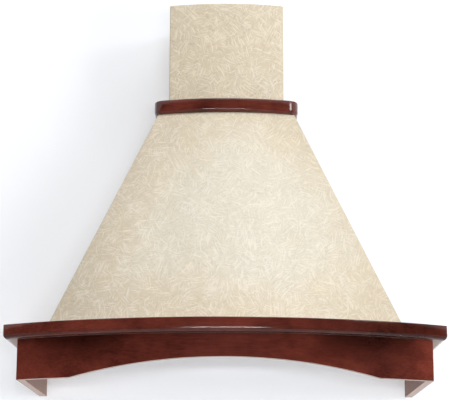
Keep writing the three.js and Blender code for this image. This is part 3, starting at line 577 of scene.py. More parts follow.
def sort_parts(shape):
    """Sorts points, edges and faces by place, because extruding leaves them in another order each run."""

    def how_far(part):
        corners = getattr(part, "verts", [part])
        return sum(corner.co.dot(SKEWED) for corner in corners) / len(corners)

    for parts in (shape.verts, shape.edges, shape.faces):
        parts.sort(key=how_far)


def close(shape, mesh):
    """Turns a shape's faces outwards and writes it into a mesh."""
    bmesh.ops.recalc_face_normals(shape, faces=shape.faces)
    shape.to_mesh(mesh)
    shape.free()
    return mesh


def tidy_mesh(mesh, name):
    """A plain copy of a mesh with its doubles merged and its flat faces whole."""
    copy = new_mesh(name, [vertex.co for vertex in mesh.vertices], [face.vertices for face in mesh.polygons])
    shape = bmesh.new()
    shape.from_mesh(copy)
    merge(shape)
    bmesh.ops.dissolve_limit(shape, angle_limit=FLAT, verts=shape.verts, edges=shape.edges)
    shape.to_mesh(copy)
    shape.free()
    return copy


def lay_out(mesh):
    """Flat coordinates in metres: each face is seen straight on, along the axis that it faces most."""
    layer = mesh.uv_layers.new(name="surface")
    for face in mesh.polygons:
        lean = [abs(value) for value in face.normal]
        facing = lean.index(max(lean))
        for corner in face.loop_indices:
            x, y, z = mesh.vertices[mesh.loops[corner].vertex_index].co
            layer.data[corner].uv = ((y, z), (x, z), (x, y))[facing]


def show(name, mesh, finish, node, softening=0.0, instead=True):
    """A piece on a CAD node's body, softened at its edges and smooth on its curves. It stands there instead
    of the node, or else beside it."""
    mesh.materials.clear()
    mesh.materials.append(finish)
    if not mesh.uv_layers:
        lay_out(mesh)
    mesh.shade_smooth()
    mesh.set_sharp_from_angle(angle=SHARP)
    piece = stand(name, mesh)
    if softening:
        bevel = piece.modifiers.new("softening", "BEVEL")
        bevel.width = softening
        bevel.segments = 2
        bevel.limit_method = "ANGLE"
        bevel.angle_limit = SHARP
        bevel.harden_normals = True
    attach(piece, BODY_OF[node])
    if instead:
        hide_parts(node)


def dress(node, finish, softening=0.0):
    """Stands for a CAD node with its own shape, softened and smooth."""
    show(f"{node}_dressed", tidy_mesh(NODES[node].data, node), finish, node, softening)


def outcome(name, mesh, group, inputs):
    """The plain mesh that a node tree makes of a mesh. Inputs are given by name."""
    carrier = stand(name, mesh)
    modifier = carrier.modifiers.new(name, "NODES")
    modifier.node_group = group
    for item in group.interface.items_tree:
        if item.in_out == "INPUT" and item.name in inputs:
            modifier[item.identifier] = inputs[item.name]
    graph = bpy.context.evaluated_depsgraph_get()
    made = bpy.data.meshes.new_from_object(carrier.evaluated_get(graph))
    made.name = name
    bpy.data.objects.remove(carrier)
    return made


def new_group(name, inputs):
    """A geometry tree with named inputs, and its input node."""
    group = bpy.data.node_groups.new(name, "GeometryNodeTree")
    group.interface.new_socket("Geometry", in_out="INPUT", socket_type="NodeSocketGeometry")
    group.interface.new_socket("Geometry", in_out="OUTPUT", socket_type="NodeSocketGeometry")
    for label, kind in inputs.items():
        group.interface.new_socket(label, in_out="INPUT", socket_type=f"NodeSocket{kind}")
    tree = Tree(group)
    return group, tree, tree.node("NodeGroupInput")


def close_group(tree, geometry, finish):
    """Ends a geometry tree in plain geometry with one material."""
    real = tree.node("GeometryNodeRealizeInstances", None, {0: geometry})
    coated = tree.node("GeometryNodeSetMaterial", None, {"Geometry": real, "Material": finish})
    tree.node("NodeGroupOutput", None, {"Geometry": coated})


# ---- boards that follow a plan


PLAN_INPUTS = ("Half Width", "Radius", "Centre")
ARCH_INPUTS = ("Arch Half Width", "Arch Rise", "Arch Sweep")
END_INPUTS = [f"{end} {name}" for end in ("Foot", "Neck") for name in (*PLAN_INPUTS, "Level")]
NUMBER_INPUTS = (*END_INPUTS, *ARCH_INPUTS, "Corner", "Corner Start", "Mitre Gap", "Hand")
COUNT_INPUTS = {"Columns": "Int", "Rows": "Int", "Finish": "Material"}
BOARD_INPUTS = {**dict.fromkeys(NUMBER_INPUTS, "Float"), **COUNT_INPUTS}


class Plan(NamedTuple):
    """A layer of the hood from above: a front that is an arc, straight sides and rounded corners."""

    half_width: float
    radius: float
    centre: float
    corner: float

    def grown(self, front, side, corner):
        """The plan set out in front and at the sides by two distances."""
        return Plan(self.half_width + side, self.radius + front, self.centre, corner)

    def inputs(self, end):
        return {f"{end} {name}": size for name, size in zip(PLAN_INPUTS, self)}


def bowed(half_width, depth, bow, corner):
    """A plan from its overall sizes."""
    radius = (half_width**2 + bow**2) / (2 * bow)
    return Plan(half_width, radius, radius - depth, corner)


def plan_point(side_board, plan, corner, inset, along, corner_start):
    """Where a board's point lies on a plan. The front runs from -1 to 1, a side from 0 at the wall to 1."""
    half_width, radius, centre = plan
    rounding = largest(corner - inset, 0.0)
    path = radius - inset - rounding
    straight = half_width - inset - rounding
    turn = calculate("ARCSINE", straight / path)
    reach = abs(along)
    before = smallest(reach / corner_start, 1.0)
    beyond = largest((reach - corner_start) / (1 - corner_start), 0.0)
    sweep = (QUARTER - turn) * 0.5 * beyond
    if side_board:
        facing = QUARTER - sweep
        x = straight + rounding * calculate("SINE", facing)
        corner_y = centre - path * calculate("COSINE", turn)
        return x, corner_y * before - rounding * calculate("COSINE", facing)
    angle = turn * before
    facing = angle + sweep
    x = calculate("SIGN", along) * (path * calculate("SINE", angle) + rounding * calculate("SINE", facing))
    return x, centre - path * calculate("COSINE", angle) - rounding * calculate("COSINE", facing)


def arch_height(x, half_width, rise, sweep):
    """Height of the skirt's lower edge: level ends, reverse curves, and a long arc between them."""
    angle = 2 * calculate("ARCTANGENT", rise / half_width)
    crown = half_width / calculate("SINE", angle) - sweep
    reach = smallest(abs(x), half_width)
    inside = half_width - reach
    reverse = sweep - calculate("SQRT", sweep * sweep - inside * inside)
    arc = rise - crown + calculate("SQRT", largest(crown * crown - reach * reach, 0.0))
    is_reverse = calculate("LESS_THAN", inside, sweep * calculate("SINE", angle))
    return is_reverse * reverse + (1 - is_reverse) * arc


def board_group(side_board):
    """A tree that runs a closed profile along a bowed front or along a side.

    The profile's points hold how far each lies inside the plan, in X, whether the faces between it and
    another such point are bare, in Y, and its height, in Z."""
    group, tree, given = new_group("side board" if side_board else "bowed board", BOARD_INPUTS)
    position = tree.node("GeometryNodeInputPosition")
    sockets = {0: 1.0, 1: 1.0, "Vertices X": given["Columns"], "Vertices Y": given["Rows"] + 1}
    grid = tree.node("GeometryNodeMeshGrid", None, sockets)
    share = tree.split(position)
    row = calculate("ROUND", (share["Y"] + 0.5) * given["Rows"])
    wrapped = calculate("MODULO", row, given["Rows"])
    settings = {"data_type": "FLOAT_VECTOR", "domain": "POINT"}
    sockets = {"Geometry": given["Geometry"], "Value": position, "Index": wrapped}
    profile = tree.split(tree.node("GeometryNodeSampleIndex", settings, sockets))
    inset, height = profile["X"], profile["Z"]
    settings = {"data_type": "FLOAT", "domain": "POINT"}
    unfinished = tree.node("GeometryNodeFieldOnDomain", settings, {"Value": profile["Y"]})
    settings = {"data_type": "FLOAT", "domain": "FACE"}
    nearly_all = 0.9
    bare = calculate("GREATER_THAN", unfinished, nearly_all)
    sockets = {"Geometry": grid["Mesh"], "Name": "bare", "Value": bare}
    marked = tree.node("GeometryNodeStoreNamedAttribute", settings, sockets)
    along = share["X"] + 0.5 if side_board else share["X"] * 2
    ends = []
    for end in ("Foot", "Neck"):
        plan = [given[f"{end} {name}"] for name in PLAN_INPUTS]
        ends.append(plan_point(side_board, plan, given["Corner"], inset, along, given["Corner Start"]))
    foot, top = given["Foot Level"], given["Neck Level"]
    rise = (height - foot) / (top - foot)
    x, y = (lower + (upper - lower) * rise for lower, upper in zip(*ends))
    if side_board:
        y = y + given["Mitre Gap"] * smallest(along / given["Corner Start"], 1.0)
        x = x * given["Hand"]
    arch = arch_height(x, *[given[name] for name in ARCH_INPUTS])
    z = top - (top - height) * (1 - arch / (top - foot))
    placed = tree.node("GeometryNodeSetPosition", None, {"Geometry": marked, "Position": tree.join(x, y, z)})
    merged = tree.node("GeometryNodeMergeByDistance", None, {"Geometry": placed, "Distance": HAIR})
    close_group(tree, merged, given["Finish"])
    return group


def plain_profile(bottom, top, wall, rows):
    """A rectangle, with rows of points up the outside and down the inside. Its inside and foot are bare."""
    heights = [bottom + (top - bottom) * i / rows for i in range(rows + 1)]
    outside = [(0.0, float(height == bottom), height) for height in heights]
    return outside + [(wall, 1.0, height) for height in reversed(heights)]


def moulded_profile(bottom, top, width, arris, rounding, bare_foot):
    """A board whose outer edge has a quarter round at its foot and a soft arris on top."""
    points = []
    round_steps, arris_steps = 10, 4
    for i in range(round_steps + 1):
        angle = QUARTER * i / round_steps
        foot = bare_foot if i == 0 else 0.0
        points.append((rounding * (1 - math.sin(angle)), foot, bottom + rounding * (1 - math.cos(angle))))
    for i in range(arris_steps + 1):
        angle = QUARTER * i / arris_steps
        points.append((arris * (1 - math.cos(angle)), 0.0, top - arris * (1 - math.sin(angle))))
    return [*points, (width, 0.0, top), (width, bare_foot, bottom)]


def make_boards(front, sides, profile, foot, neck, finishes, softening, arch=None, bow_steps=72):
    """Front, left and right boards of one layer, each standing for its CAD node. The finishes are the front's
    and the sides'."""
    corner_steps = 6
    side_steps = 6
    no_arch = (foot.half_width, 0.0, 1e-4)  # no curve can have a radius of 0
    low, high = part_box(front)
    for node, hand in ((front, 1.0), (f"{sides}_left", -1.0), (f"{sides}_right", 1.0)):
        side_board = node != front
        corners = corner_steps if side_board else 2 * corner_steps
        steps = corners + (side_steps if side_board else bow_steps)
        inputs = {
            **foot.inputs("Foot"),
            **neck.inputs("Neck"),
            **dict(zip(ARCH_INPUTS, no_arch if side_board or arch is None else arch)),
            "Foot Level": low.z,
            "Neck Level": high.z,
            "Corner": foot.corner,
            "Corner Start": 1 - corners / steps,
            "Mitre Gap": 0.00036,
            "Hand": hand,
            "Columns": steps + 1,
            "Rows": len(profile),
            "Finish": finishes[side_board],
        }
        mesh = outcome(f"{node}_board", new_mesh("profile", profile), GROUPS[side_board], inputs)
        cap(mesh)
        show(f"{node}_board", mesh, finishes[side_board], node, softening)


def cap(mesh):
    """Closes a board's two ends and turns its faces outwards."""
    shape = bmesh.new()
    shape.from_mesh(mesh)
    merge(shape)
    bmesh.ops.holes_fill(shape, edges=[edge for edge in shape.edges if edge.is_boundary], sides=0)
    close(shape, mesh)


# ---- small pieces that repeat


UP, DOWN, FORWARDS, RIGHTWARDS = (0.0, 0.0, 1.0), (0.0, 0.0, -1.0), (0.0, -1.0, 0.0), (1.0, 0.0, 0.0)
SCREW_INPUTS = {"Head": "Object", "Facing": "Vector", "Radius": "Float", "Seed": "Int", "Finish": "Material"}
LATTICE_SIZES = ("Pitch X", "Pitch Y", "Strand Width", "Strand Thickness", "Gap Half Width", "Gap Depth")
LATTICE_INPUTS = {"Place": "Vector", **dict.fromkeys(LATTICE_SIZES, "Float"), **COUNT_INPUTS}


def screw_group():
    """A tree that sets a screw head on every point of a mesh, each with its recess turned its own way."""
    group, tree, given = new_group("screws", SCREW_INPUTS)
    head = tree.node("GeometryNodeObjectInfo", None, {"Object": given["Head"]})["Geometry"]
    lie = tree.node("FunctionNodeAlignRotationToVector", {"axis": "Z"}, {"Vector": given["Facing"]})
    turns = {2: 0.0, 3: math.tau, "Seed": given["Seed"]}
    turn = tree.node("FunctionNodeRandomValue", {"data_type": "FLOAT"}, turns)[1]
    twist = tree.node("FunctionNodeAxisAngleToRotation", None, {"Axis": UP, "Angle": turn})
    lie = tree.node("FunctionNodeRotateRotation", {"rotation_space": "LOCAL"}, {0: lie, 1: twist})
    size = tree.join(*[given["Radius"]] * 3)
    sockets = {"Points": given["Geometry"], "Instance": head, "Rotation": lie, "Scale": size}
    set_out = tree.node("GeometryNodeInstanceOnPoints", None, sockets)
    close_group(tree, set_out, given["Finish"])
    return group


def lattice_group():
    """A tree that covers a field with diamonds of flat strand, as in expanded metal, with a gap in the middle
    of its front edge."""
    group, tree, given = new_group("expanded metal", LATTICE_INPUTS)
    half = given["Pitch Y"] / 2
    sockets = {"Width": given["Pitch X"], "Bottom Height": half, "Top Height": half}
    diamond = tree.node("GeometryNodeCurvePrimitiveQuadrilateral", {"mode": "KITE"}, sockets)
    sockets = {"Width": given["Strand Width"], "Height": given["Strand Thickness"]}
    section = tree.node("GeometryNodeCurvePrimitiveQuadrilateral", {"mode": "RECTANGLE"}, sockets)
    cell = tree.node("GeometryNodeCurveToMesh", None, {"Curve": diamond, "Profile Curve": section})
    sockets = {}
    for axis, count in (("X", "Columns"), ("Y", "Rows")):
        sockets[f"Size {axis}"] = given[f"Pitch {axis}"] * (given[count] - 1)
        sockets[f"Vertices {axis}"] = given[count]
    grid = tree.node("GeometryNodeMeshGrid", None, sockets)["Mesh"]
    where = tree.split(tree.node("GeometryNodeInputPosition"))
    aside = calculate("LESS_THAN", abs(where["X"]), given["Gap Half Width"])
    ahead = calculate("LESS_THAN", where["Y"], given["Gap Depth"] - given["Pitch Y"] * given["Rows"] / 2)
    sockets = {"Points": grid, "Selection": 1.0 - aside * ahead, "Instance": cell}
    cells = tree.node("GeometryNodeInstanceOnPoints", None, sockets)
    placed = tree.node("GeometryNodeTransform", None, {"Geometry": cells, "Translation": given["Place"]})
    close_group(tree, placed, given["Finish"])
    return group


def screw_head():
    """A pan head of radius 1 with a cross recess, standing on the origin and facing up."""
    shape = bmesh.new()
    top = 0.54
    rings = []
    for radius, height in ((1.0, -0.05), (1.0, 0.18), (0.92, 0.36), (0.76, 0.48), (0.58, top)):
        rings.append([shape.verts.new((x, y, height)) for x, y in disc(radius, count=18)])
    arm, half = 0.44, 0.13
    quarter = [(arm, -half), (arm, half), (half, half)]
    cross = [Matrix.Rotation(QUARTER * i, 2) @ Vector(point) for i in range(4) for point in quarter]
    mouth = [shape.verts.new((point.x, point.y, top)) for point in cross]
    depth = [shape.verts.new((point.x * 0.75, point.y * 0.75, 0.15)) for point in cross]
    for lower, upper in [*zip(rings, rings[1:]), (mouth, depth)]:
        for i, corner in enumerate(lower):
            after = (i + 1) % len(lower)
            shape.faces.new((corner, lower[after], upper[after], upper[i]))
    rim = [edge for edge in shape.edges if edge.is_boundary and all(v.co.z == top for v in edge.verts)]
    bmesh.ops.triangle_fill(shape, use_beauty=True, edges=rim)
    shape.faces.new(rings[0])
    shape.faces.new(depth)
    return close(shape, bpy.data.meshes.new("screw_head"))


def fasten(node, facing, spots, radius):
    """Screw heads on one face of a node."""
    head = stand("screw_head", screw_head())
    finish = screw_steel()
    inputs = {"Head": head, "Facing": facing, "Radius": radius, "Seed": len(spots), "Finish": finish}
    mesh = outcome(f"{node}_screws", new_mesh("spots", spots), GROUPS["screws"], inputs)
    bpy.data.objects.remove(head)
    show(f"{node}_screws", mesh, finish, node, instead=False)


def disc(radius, x=0.0, count=16):
    turns = [math.tau * i / count for i in range(count)]
    return [(x + radius * math.cos(turn), radius * math.sin(turn)) for turn in turns]


def mark_outlines(number):
    """A ring for off, one to three dots for the speeds, and a small sun for the lamps."""
    if number == 1:
        inner, outer = disc(0.0024, count=24), disc(0.0031, count=24)
        return [(outer[i], outer[i - 1], inner[i - 1], inner[i]) for i in range(24)]
    if number == 5:
        start, end, half = 0.0026, 0.0038, 0.0003
        ray = [(start, -half), (end, -half), (end, half), (start, half)]
        turns = [Matrix.Rotation(math.tau * i / 8, 2) for i in range(8)]
        return [disc(0.0017)] + [[(turn @ Vector(point))[:] for point in ray] for turn in turns]
    dots = number - 1
    return [disc(0.0009, 0.003 * (i - (dots - 1) / 2)) for i in range(dots)]


def print_mark(number):
    """The raised print on one button's face."""
    node = f"button_{number}"
    low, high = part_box(node)
    middle = (low + high) / 2
    sunk, raised = 0.0001, 0.00006
    shape = bmesh.new()
    for outline in mark_outlines(number):
        shape.faces.new([shape.verts.new((middle.x + x, middle.y + y, low.z + sunk)) for x, y in outline])
    merge(shape)
    for item in bmesh.ops.extrude_face_region(shape, geom=shape.faces[:])["geom"]:
        if isinstance(item, bmesh.types.BMVert):
            item.co.z = low.z - raised
    sort_parts(shape)
    mesh = close(shape, bpy.data.meshes.new(f"{node}_mark"))
    show(f"{node}_mark", mesh, printed_mark(), node, instead=False)


# ---- operators: the woodwork


def shelf_plan():
    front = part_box("shelf_front")[0].y
    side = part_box("shelf_right")[1].x
    return bowed(side, -front, sizes().shelf_bow, sizes().shelf_corner)


def chimney_plan():
    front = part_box("chimney_front")[0].y
    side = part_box("chimney_right")[1].x
    return bowed(side, -front, sizes().chimney_bow, sizes().panel_corner)


def behind_shelf(front, side, corner):
    """The shelf's plan, drawn in to where another layer's front and side lie."""
    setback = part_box(front)[0].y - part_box("shelf_front")[0].y
    shelf = shelf_plan()
    return shelf.grown(-setback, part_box(side)[1].x - shelf.half_width, corner)


class HOOD_OT_shelf(bpy.types.Operator):
    """Make the moulded shelf boards"""

    bl_idname = "hood.shelf"
    bl_label = "Shelf"

    def execute(self, context):
        s = sizes()
        low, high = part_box("shelf_front")
        profile = moulded_profile(low.z, high.z, s.shelf_board, s.shelf_arris, s.shelf_round, bare_foot=1.0)
        plan = shelf_plan()
        finishes = (stained_wood("X", "shelf"), stained_wood("Y", "shelf"))
        make_boards("shelf_front", "shelf", profile, plan, plan, finishes, s.fine_softening)
        return {"FINISHED"}


class HOOD_OT_collar(bpy.types.Operator):
    """Make the moulded collar round the chimney's foot"""

    bl_idname = "hood.collar"
    bl_label = "Collar"

    def execute(self, context):
        s = sizes()
        low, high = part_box("collar_front")
        chimney = chimney_plan()
        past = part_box("collar_right")[1].x - chimney.half_width
        plan = chimney.grown(past, past, s.collar_corner)
        gap = 0.0003
        profile = moulded_profile(low.z, high.z, past - gap, s.collar_arris, s.collar_round, bare_foot=0.0)
        finishes = (stained_wood("X", "collar"), stained_wood("Y", "collar"))
        make_boards("collar_front", "collar", profile, plan, plan, finishes, s.fine_softening)
        return {"FINISHED"}


class HOOD_OT_skirt(bpy.types.Operator):
    """Make the arched front board of the skirt, its sides and the glued blocks behind them"""

    bl_idname = "hood.skirt"
    bl_label = "Skirt"

    def execute(self, context):
        s = sizes()
        low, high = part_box("valance")
        plan = behind_shelf("valance", "skirt_side_right", s.skirt_corner)
        profile = plain_profile(low.z, high.z, s.skirt_board, rows=8)
        arch = (s.arch_half_width, s.arch_rise, s.arch_sweep)
        finishes = (stained_wood("X", "valance"), stained_wood("Y"))
        steps = 180
        make_boards("valance", "skirt_side", profile, plan, plan, finishes, s.softening, arch, steps)
        for name in SIDES:
            dress(f"corner_block_{name}", bare_wood("Z"), softening=0.001)
        return {"FINISHED"}


class HOOD_OT_canopy(bpy.types.Operator):
    """Make the canopy's bowed, tapered front and its two sides"""

    bl_idname = "hood.canopy"
    bl_label = "Canopy"

    def execute(self, context):
        s = sizes()
        low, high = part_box("canopy_front")
        foot = behind_shelf("canopy_front", "canopy_right", s.panel_corner)
        past_front, past_side = 0.022, 0.023
        neck = chimney_plan().grown(past_front, past_side, s.panel_corner)
        profile = plain_profile(low.z, high.z, s.canopy_panel, rows=16)
        finishes = [strand_finish("canopy")] * 2
        make_boards("canopy_front", "canopy", profile, foot, neck, finishes, s.softening)
        return {"FINISHED"}


class HOOD_OT_chimney(bpy.types.Operator):
    """Make the chimney's bowed front and sides, and the inner chimney that slides in it"""

    bl_idname = "hood.chimney"
    bl_label = "Chimney"

    def execute(self, context):
        s = sizes()
        low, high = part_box("chimney_front")
        plan = chimney_plan()
        profile = plain_profile(low.z, high.z, s.chimney_panel, rows=6)
        finish = strand_finish("chimney")
        finishes = [finish] * 2
        make_boards("chimney_front", "chimney", profile, plan, plan, finishes, s.softening)
        dress("inner_chimney", finish)
        return {"FINISHED"}


GRAIN = {
    "foot_batten_front": "X",
    "foot_batten_left": "Y",
    "foot_batten_right": "Y",
    "corner_post_left": "Z",
    "corner_post_right": "Z",
    "rear_rail": "X",
    "rear_stile_left": "Z",
    "rear_stile_right": "Z",
    "wall_cleat": "X",
    "hang_rail": "X",
}


class HOOD_OT_carcass(bpy.types.Operator):
    """Finish the battens, posts, rails, cleat and neck board"""

    bl_idname = "hood.carcass"
    bl_label = "Battens and rails"

    def execute(self, context):
        for node, grain in GRAIN.items():
            dress(node, bare_wood(grain), softening=0.0008)
        dress("neck_board", plywood(), softening=0.0004)
        low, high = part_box("wall_cleat")
        spacing = 0.14
        spots = [(x, low.y, (low.z + high.z) / 2) for x in (-spacing, 0.0, spacing)]
        fasten("wall_cleat", FORWARDS, spots, radius=0.005)
        return {"FINISHED"}


# ---- operators: the extractor


class HOOD_OT_liner(bpy.types.Operator):
    """Finish the liner plate and the case behind it"""

    bl_idname = "hood.liner"
    bl_label = "Liner and case"

    def execute(self, context):
        dress("liner_plate", brushed_steel("X"), softening=0.0003)
        dress("insert_case", zinc_sheet(), softening=0.0004)
        low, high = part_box("insert_case")
        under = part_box("liner_plate")[0].z
        inset = 0.0052
        across = (-0.21, -0.07, 0.07, 0.21)
        along = (-0.060, -0.118, -0.212, -0.262)
        spots = [(x, low.y + inset, under) for x in across]
        spots += [(x, y, under) for x in (low.x + inset, high.x - inset) for y in along]
        fasten("liner_plate", DOWN, spots, radius=0.0032)
        return {"FINISHED"}


class HOOD_OT_filters(bpy.types.Operator):
    """Finish the two grease filters and their latches"""

    bl_idname = "hood.filters"
    bl_label = "Filters"

    def execute(self, context):
        for name in SIDES:
            dress(f"filter_frame_{name}", satin_aluminium(), softening=0.0003)
            dress(f"filter_mesh_{name}", filter_weave())
            dress(f"filter_latch_{name}", satin_aluminium(), softening=0.0003)
            self.guard(name)
        return {"FINISHED"}

    def guard(self, name):
        """Expanded metal under the layers of knitted wire, with room for the latch to slide back."""
        node = f"filter_mesh_{name}"
        low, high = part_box(node)
        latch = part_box(f"filter_latch_{name}")
        middle = (low + high) / 2
        columns, rows = 13, 23
        rim = 0.001
        thickness = 0.0005
        room = 0.008
        inputs = {
            "Place": (middle.x, middle.y, low.z - thickness),
            "Pitch X": (high.x - low.x - 2 * rim) / columns,
            "Pitch Y": (high.y - low.y - 2 * rim) / rows,
            "Columns": columns,
            "Rows": rows,
            "Strand Width": 0.001,
            "Strand Thickness": thickness,
            "Gap Half Width": (latch[1].x - latch[0].x) / 2 + room,
            "Gap Depth": 0.010,
            "Finish": satin_aluminium(),
        }
        piece = f"filter_guard_{name}"
        mesh = outcome(piece, new_mesh("empty", []), GROUPS["lattice"], inputs)
        show(piece, mesh, satin_aluminium(), node, instead=False)


class HOOD_OT_lamps(bpy.types.Operator):
    """Finish the two lamps"""

    bl_idname = "hood.lamps"
    bl_label = "Lamps"

    def execute(self, context):
        for name in SIDES:
            dress(f"lamp_housing_{name}", brushed_steel("X"), softening=0.0003)
            dress(f"lamp_lens_{name}", frosted_glass(), softening=0.0003)
        return {"FINISHED"}


class HOOD_OT_controls(bpy.types.Operator):
    """Finish the bezel, the five buttons and the switch block"""

    bl_idname = "hood.controls"
    bl_label = "Controls"

    def execute(self, context):
        dress("control_bezel", moulded_plastic(), softening=0.0005)
        dress("switch_block", moulded_plastic(), softening=0.0005)
        for number in range(1, 6):
            dress(f"button_{number}", moulded_plastic(), softening=0.0003)
            print_mark(number)
        low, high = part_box("control_bezel")
        inset = 0.0042
        spots = [(x, (low.y + high.y) / 2, low.z) for x in (low.x + inset, high.x - inset)]
        fasten("control_bezel", DOWN, spots, radius=0.0022)
        return {"FINISHED"}


class HOOD_OT_blower(bpy.types.Operator):
    """Finish the blower and its motor"""

    bl_idname = "hood.blower"
    bl_label = "Blower"

    def execute(self, context):
        dress("scroll_housing", zinc_sheet(), softening=0.0003)
        dress("impeller", moulded_plastic(), softening=0.0002)
        dress("motor_shaft", screw_steel(), softening=0.0003)
        dress("motor", satin_aluminium(), softening=0.001)
        dress("motor_bracket", zinc_sheet(), softening=0.0003)
        low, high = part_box("motor")
        middle = (low + high) / 2
        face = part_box("motor_bracket")[1].x
        reach = 0.056
        spots = []
        for turn in (0.0, math.tau / 3, -math.tau / 3):
            spots.append((face, middle.y + reach * math.sin(turn), middle.z + reach * math.cos(turn)))
        fasten("motor_bracket", RIGHTWARDS, spots, radius=0.0034)
        return {"FINISHED"}


class HOOD_OT_outlet(bpy.types.Operator):
    """Finish the duct spigot, its damper and the terminal box"""

    bl_idname = "hood.outlet"
    bl_label = "Outlet"

    def execute(self, context):
        dress("duct_spigot", zinc_sheet(), softening=0.0003)
        dress("damper_pin", screw_steel(), softening=0.0002)
        for name in SIDES:
            dress(f"damper_flap_{name}", satin_aluminium(), softening=0.0002)
        dress("terminal_box", moulded_plastic(), softening=0.0006)
        low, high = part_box("terminal_box")
        inset = 0.008
        across = (low.x + inset, high.x - inset)
        spots = [(x, y, high.z) for x in across for y in (low.y + inset, high.y - inset)]
        fasten("terminal_box", UP, spots, radius=0.003)
        low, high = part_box("duct_spigot")
        middle = (low + high) / 2
        flange = low.z + 0.0015
        reach = 0.0802 * math.sqrt(0.5)
        spots = [(middle.x + x * reach, middle.y + y * reach, flange) for x in (-1, 1) for y in (-1, 1)]
        fasten("duct_spigot", UP, spots, radius=0.0028)
        return {"FINISHED"}


# ---- operators: the stage


CAMERA_PLACE = Vector((0.0174, -3.3802, -0.6979))
CAMERA_TURNS = (math.radians(90 + 12.54), math.radians(0.350), math.radians(0.207))  # pitch, yaw, roll
CAMERA_LENS = 119.31  # mm, on a sensor 36 mm wide

# Colour, how much brighter the camera sees it, and how much brighter metal, lacquer and glass show it.
BACKDROPS = {"wall": ((0.73, 0.75, 0.79, 1.0), 0.27, 0.33), "floor": ((0.60, 0.595, 0.59, 1.0), 0.42, 0.08)}

# Place, target, width and height. Glossy surfaces don't show the image of the side lamp.
LAMPS = {
    "key": ((2.2, -2.2, 1.05), (0.1, -0.2, 0.1), 0.8, 0.75),
    "side": ((2.4, -2.3, -0.35), (0.0, -0.1, -0.1), 1.1, 0.5),
    "top": ((0.75, -2.6, 2.3), (0.0, -0.4, -0.2), 2.4, 1.2),
    "front": ((-0.02, -3.6, -0.58), (0.0, -0.4, -0.35), 1.5, 0.1),
    "fill": ((-1.7, -1.8, 2.2), (0.0, -0.4, -0.2), 1.2, 1.2),
    "rear": ((0.9, 2.6, 1.1), (0.0, 0.0, -0.1), 2.2, 1.6),
    "wall": ((0.0, -0.5, -1.3), (0.0, 0.0, -1.3), 1.6, 0.3),
}
WHITE = (1.0, 1.0, 1.0, 1.0)


@material
def backdrop(tree, name):
    """A pale surface that is only there from its front, and lets lamplight through from behind."""
    colour, glow, mirrored = BACKDROPS[name]
    rays = tree.node("ShaderNodeLightPath")
    reflected = largest(rays["Is Glossy Ray"], rays["Is Transmission Ray"])
    strength = rays["Is Camera Ray"] * glow + reflected * mirrored
    plain = tree.node("ShaderNodeBsdfDiffuse", None, {"Color": colour})
    bright = tree.node("ShaderNodeEmission", None, {"Color": WHITE, "Strength": strength})
    both = tree.node("ShaderNodeAddShader", None, {0: plain, 1: bright})
    behind = tree.node("ShaderNodeNewGeometry")["Backfacing"]
    through = largest(behind, rays["Is Shadow Ray"])
    clear = tree.node("ShaderNodeBsdfTransparent")
    tree.finish(tree.node("ShaderNodeMixShader", None, {0: through, 1: both, 2: clear}))


@material
def curtain(tree):
    """Dark cloth that the camera doesn't see."""
    cloth = tree.node("ShaderNodeBsdfDiffuse", None, {"Color": (0.02, 0.02, 0.02, 1.0)})
    clear = tree.node("ShaderNodeBsdfTransparent")
    seen = tree.node("ShaderNodeLightPath")["Is Camera Ray"]
    tree.finish(tree.node("ShaderNodeMixShader", None, {0: seen, 1: cloth, 2: clear}))


def plane(name, corners, finish):
    mesh = new_mesh(name, corners, [(0, 1, 2, 3)])
    mesh.materials.append(finish)
    stand(name, mesh)


def area_light(name, place, target, width, height, power):
    light = bpy.data.lights.new(name, "AREA")
    light.shape = "RECTANGLE"
    light.size = width
    light.size_y = height
    light.energy = power
    lamp = stand(name, light)
    lamp.location = place
    lamp.rotation_euler = (Vector(target) - Vector(place)).to_track_quat("-Z", "Y").to_euler()
    lamp.visible_glossy = name != "side"


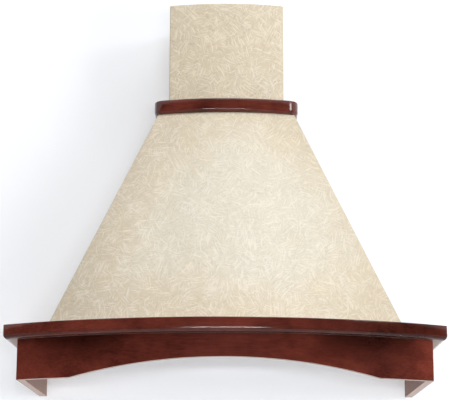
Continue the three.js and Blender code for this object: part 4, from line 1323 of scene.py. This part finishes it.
class HOOD_OT_stage(bpy.types.Operator):
    """Make the camera, the lights, the wall and the floor"""

    bl_idname = "hood.stage"
    bl_label = "Stage"

    def execute(self, context):
        stage = context.scene.hood_stage
        camera = stand("camera", bpy.data.cameras.new("camera"))
        pitch, yaw, roll = CAMERA_TURNS
        turned = Matrix.Rotation(yaw, 4, "Z") @ Matrix.Rotation(pitch, 4, "X") @ Matrix.Rotation(roll, 4, "Z")
        camera.matrix_world = Matrix.Translation(CAMERA_PLACE) @ turned
        camera.data.lens = CAMERA_LENS
        camera.data.sensor_width = 36.0
        camera.data.clip_end = 100.0
        context.scene.camera = camera

        far = 6.0
        behind = 0.0006
        floor = stage.floor_level
        wall = [(-far, behind, floor), (far, behind, floor), (far, behind, far), (-far, behind, far)]
        plane("wall", wall, backdrop("wall"))
        ground = [(-far, -far, floor), (far, -far, floor), (far, behind, floor), (-far, behind, floor)]
        plane("floor", ground, backdrop("floor"))
        back, top, wide = -5.0, 2.6, 16.0
        cloth = [(wide, back, floor), (-wide, back, floor), (-wide, back, top), (wide, back, top)]
        plane("curtain", cloth, curtain())
        for name, details in LAMPS.items():
            area_light(name, *details, getattr(stage, name))

        world = bpy.data.worlds.new("studio")
        world.use_nodes = True
        context.scene.world = world
        tree = Tree(world.node_tree)
        rays = tree.node("ShaderNodeLightPath")
        seen = largest(rays["Is Camera Ray"], rays["Is Glossy Ray"], rays["Is Transmission Ray"])
        strength = stage.sky + seen * (1.0 - stage.sky)
        sky = tree.node("ShaderNodeBackground", None, {"Color": WHITE, "Strength": strength})
        tree.node("ShaderNodeOutputWorld", None, {"Surface": sky})

        context.scene.view_settings.view_transform = "Standard"
        return {"FINISHED"}


# ---- the panel, and making everything


OPERATORS = (
    HOOD_OT_shelf,
    HOOD_OT_collar,
    HOOD_OT_skirt,
    HOOD_OT_canopy,
    HOOD_OT_chimney,
    HOOD_OT_carcass,
    HOOD_OT_liner,
    HOOD_OT_filters,
    HOOD_OT_lamps,
    HOOD_OT_controls,
    HOOD_OT_blower,
    HOOD_OT_outlet,
    HOOD_OT_stage,
)


class HOOD_PT_sidebar(bpy.types.Panel):
    """Lists the hood's settings and operators"""

    bl_idname = "HOOD_PT_sidebar"
    bl_label = "Cooker hood"
    bl_space_type = "VIEW_3D"
    bl_region_type = "UI"
    bl_category = "Cooker hood"

    def draw(self, context):
        for settings in (context.scene.hood_sizes, context.scene.hood_colours, context.scene.hood_stage):
            box = self.layout.box()
            for name in settings.__annotations__:
                box.prop(settings, name)
        for operator in OPERATORS:
            self.layout.operator(operator.bl_idname)


SETTINGS = {"hood_sizes": HoodSizes, "hood_colours": HoodColours, "hood_stage": HoodStage}
GROUPS = {}


def register():
    for cls in (*SETTINGS.values(), *OPERATORS, HOOD_PT_sidebar):
        bpy.utils.register_class(cls)
    for name, cls in SETTINGS.items():
        setattr(bpy.types.Scene, name, bpy.props.PointerProperty(type=cls))


def unregister():
    for name in SETTINGS:
        delattr(bpy.types.Scene, name)
    for cls in (HOOD_PT_sidebar, *reversed(OPERATORS), *reversed(SETTINGS.values())):
        bpy.utils.unregister_class(cls)


def main():
    """Makes everything."""
    register()
    for side_board in (False, True):
        GROUPS[side_board] = board_group(side_board)
    GROUPS["screws"] = screw_group()
    GROUPS["lattice"] = lattice_group()
    for operator in OPERATORS:
        group, name = operator.bl_idname.split(".")
        getattr(getattr(bpy.ops, group), name)()


if __name__ == "__main__":
    main()
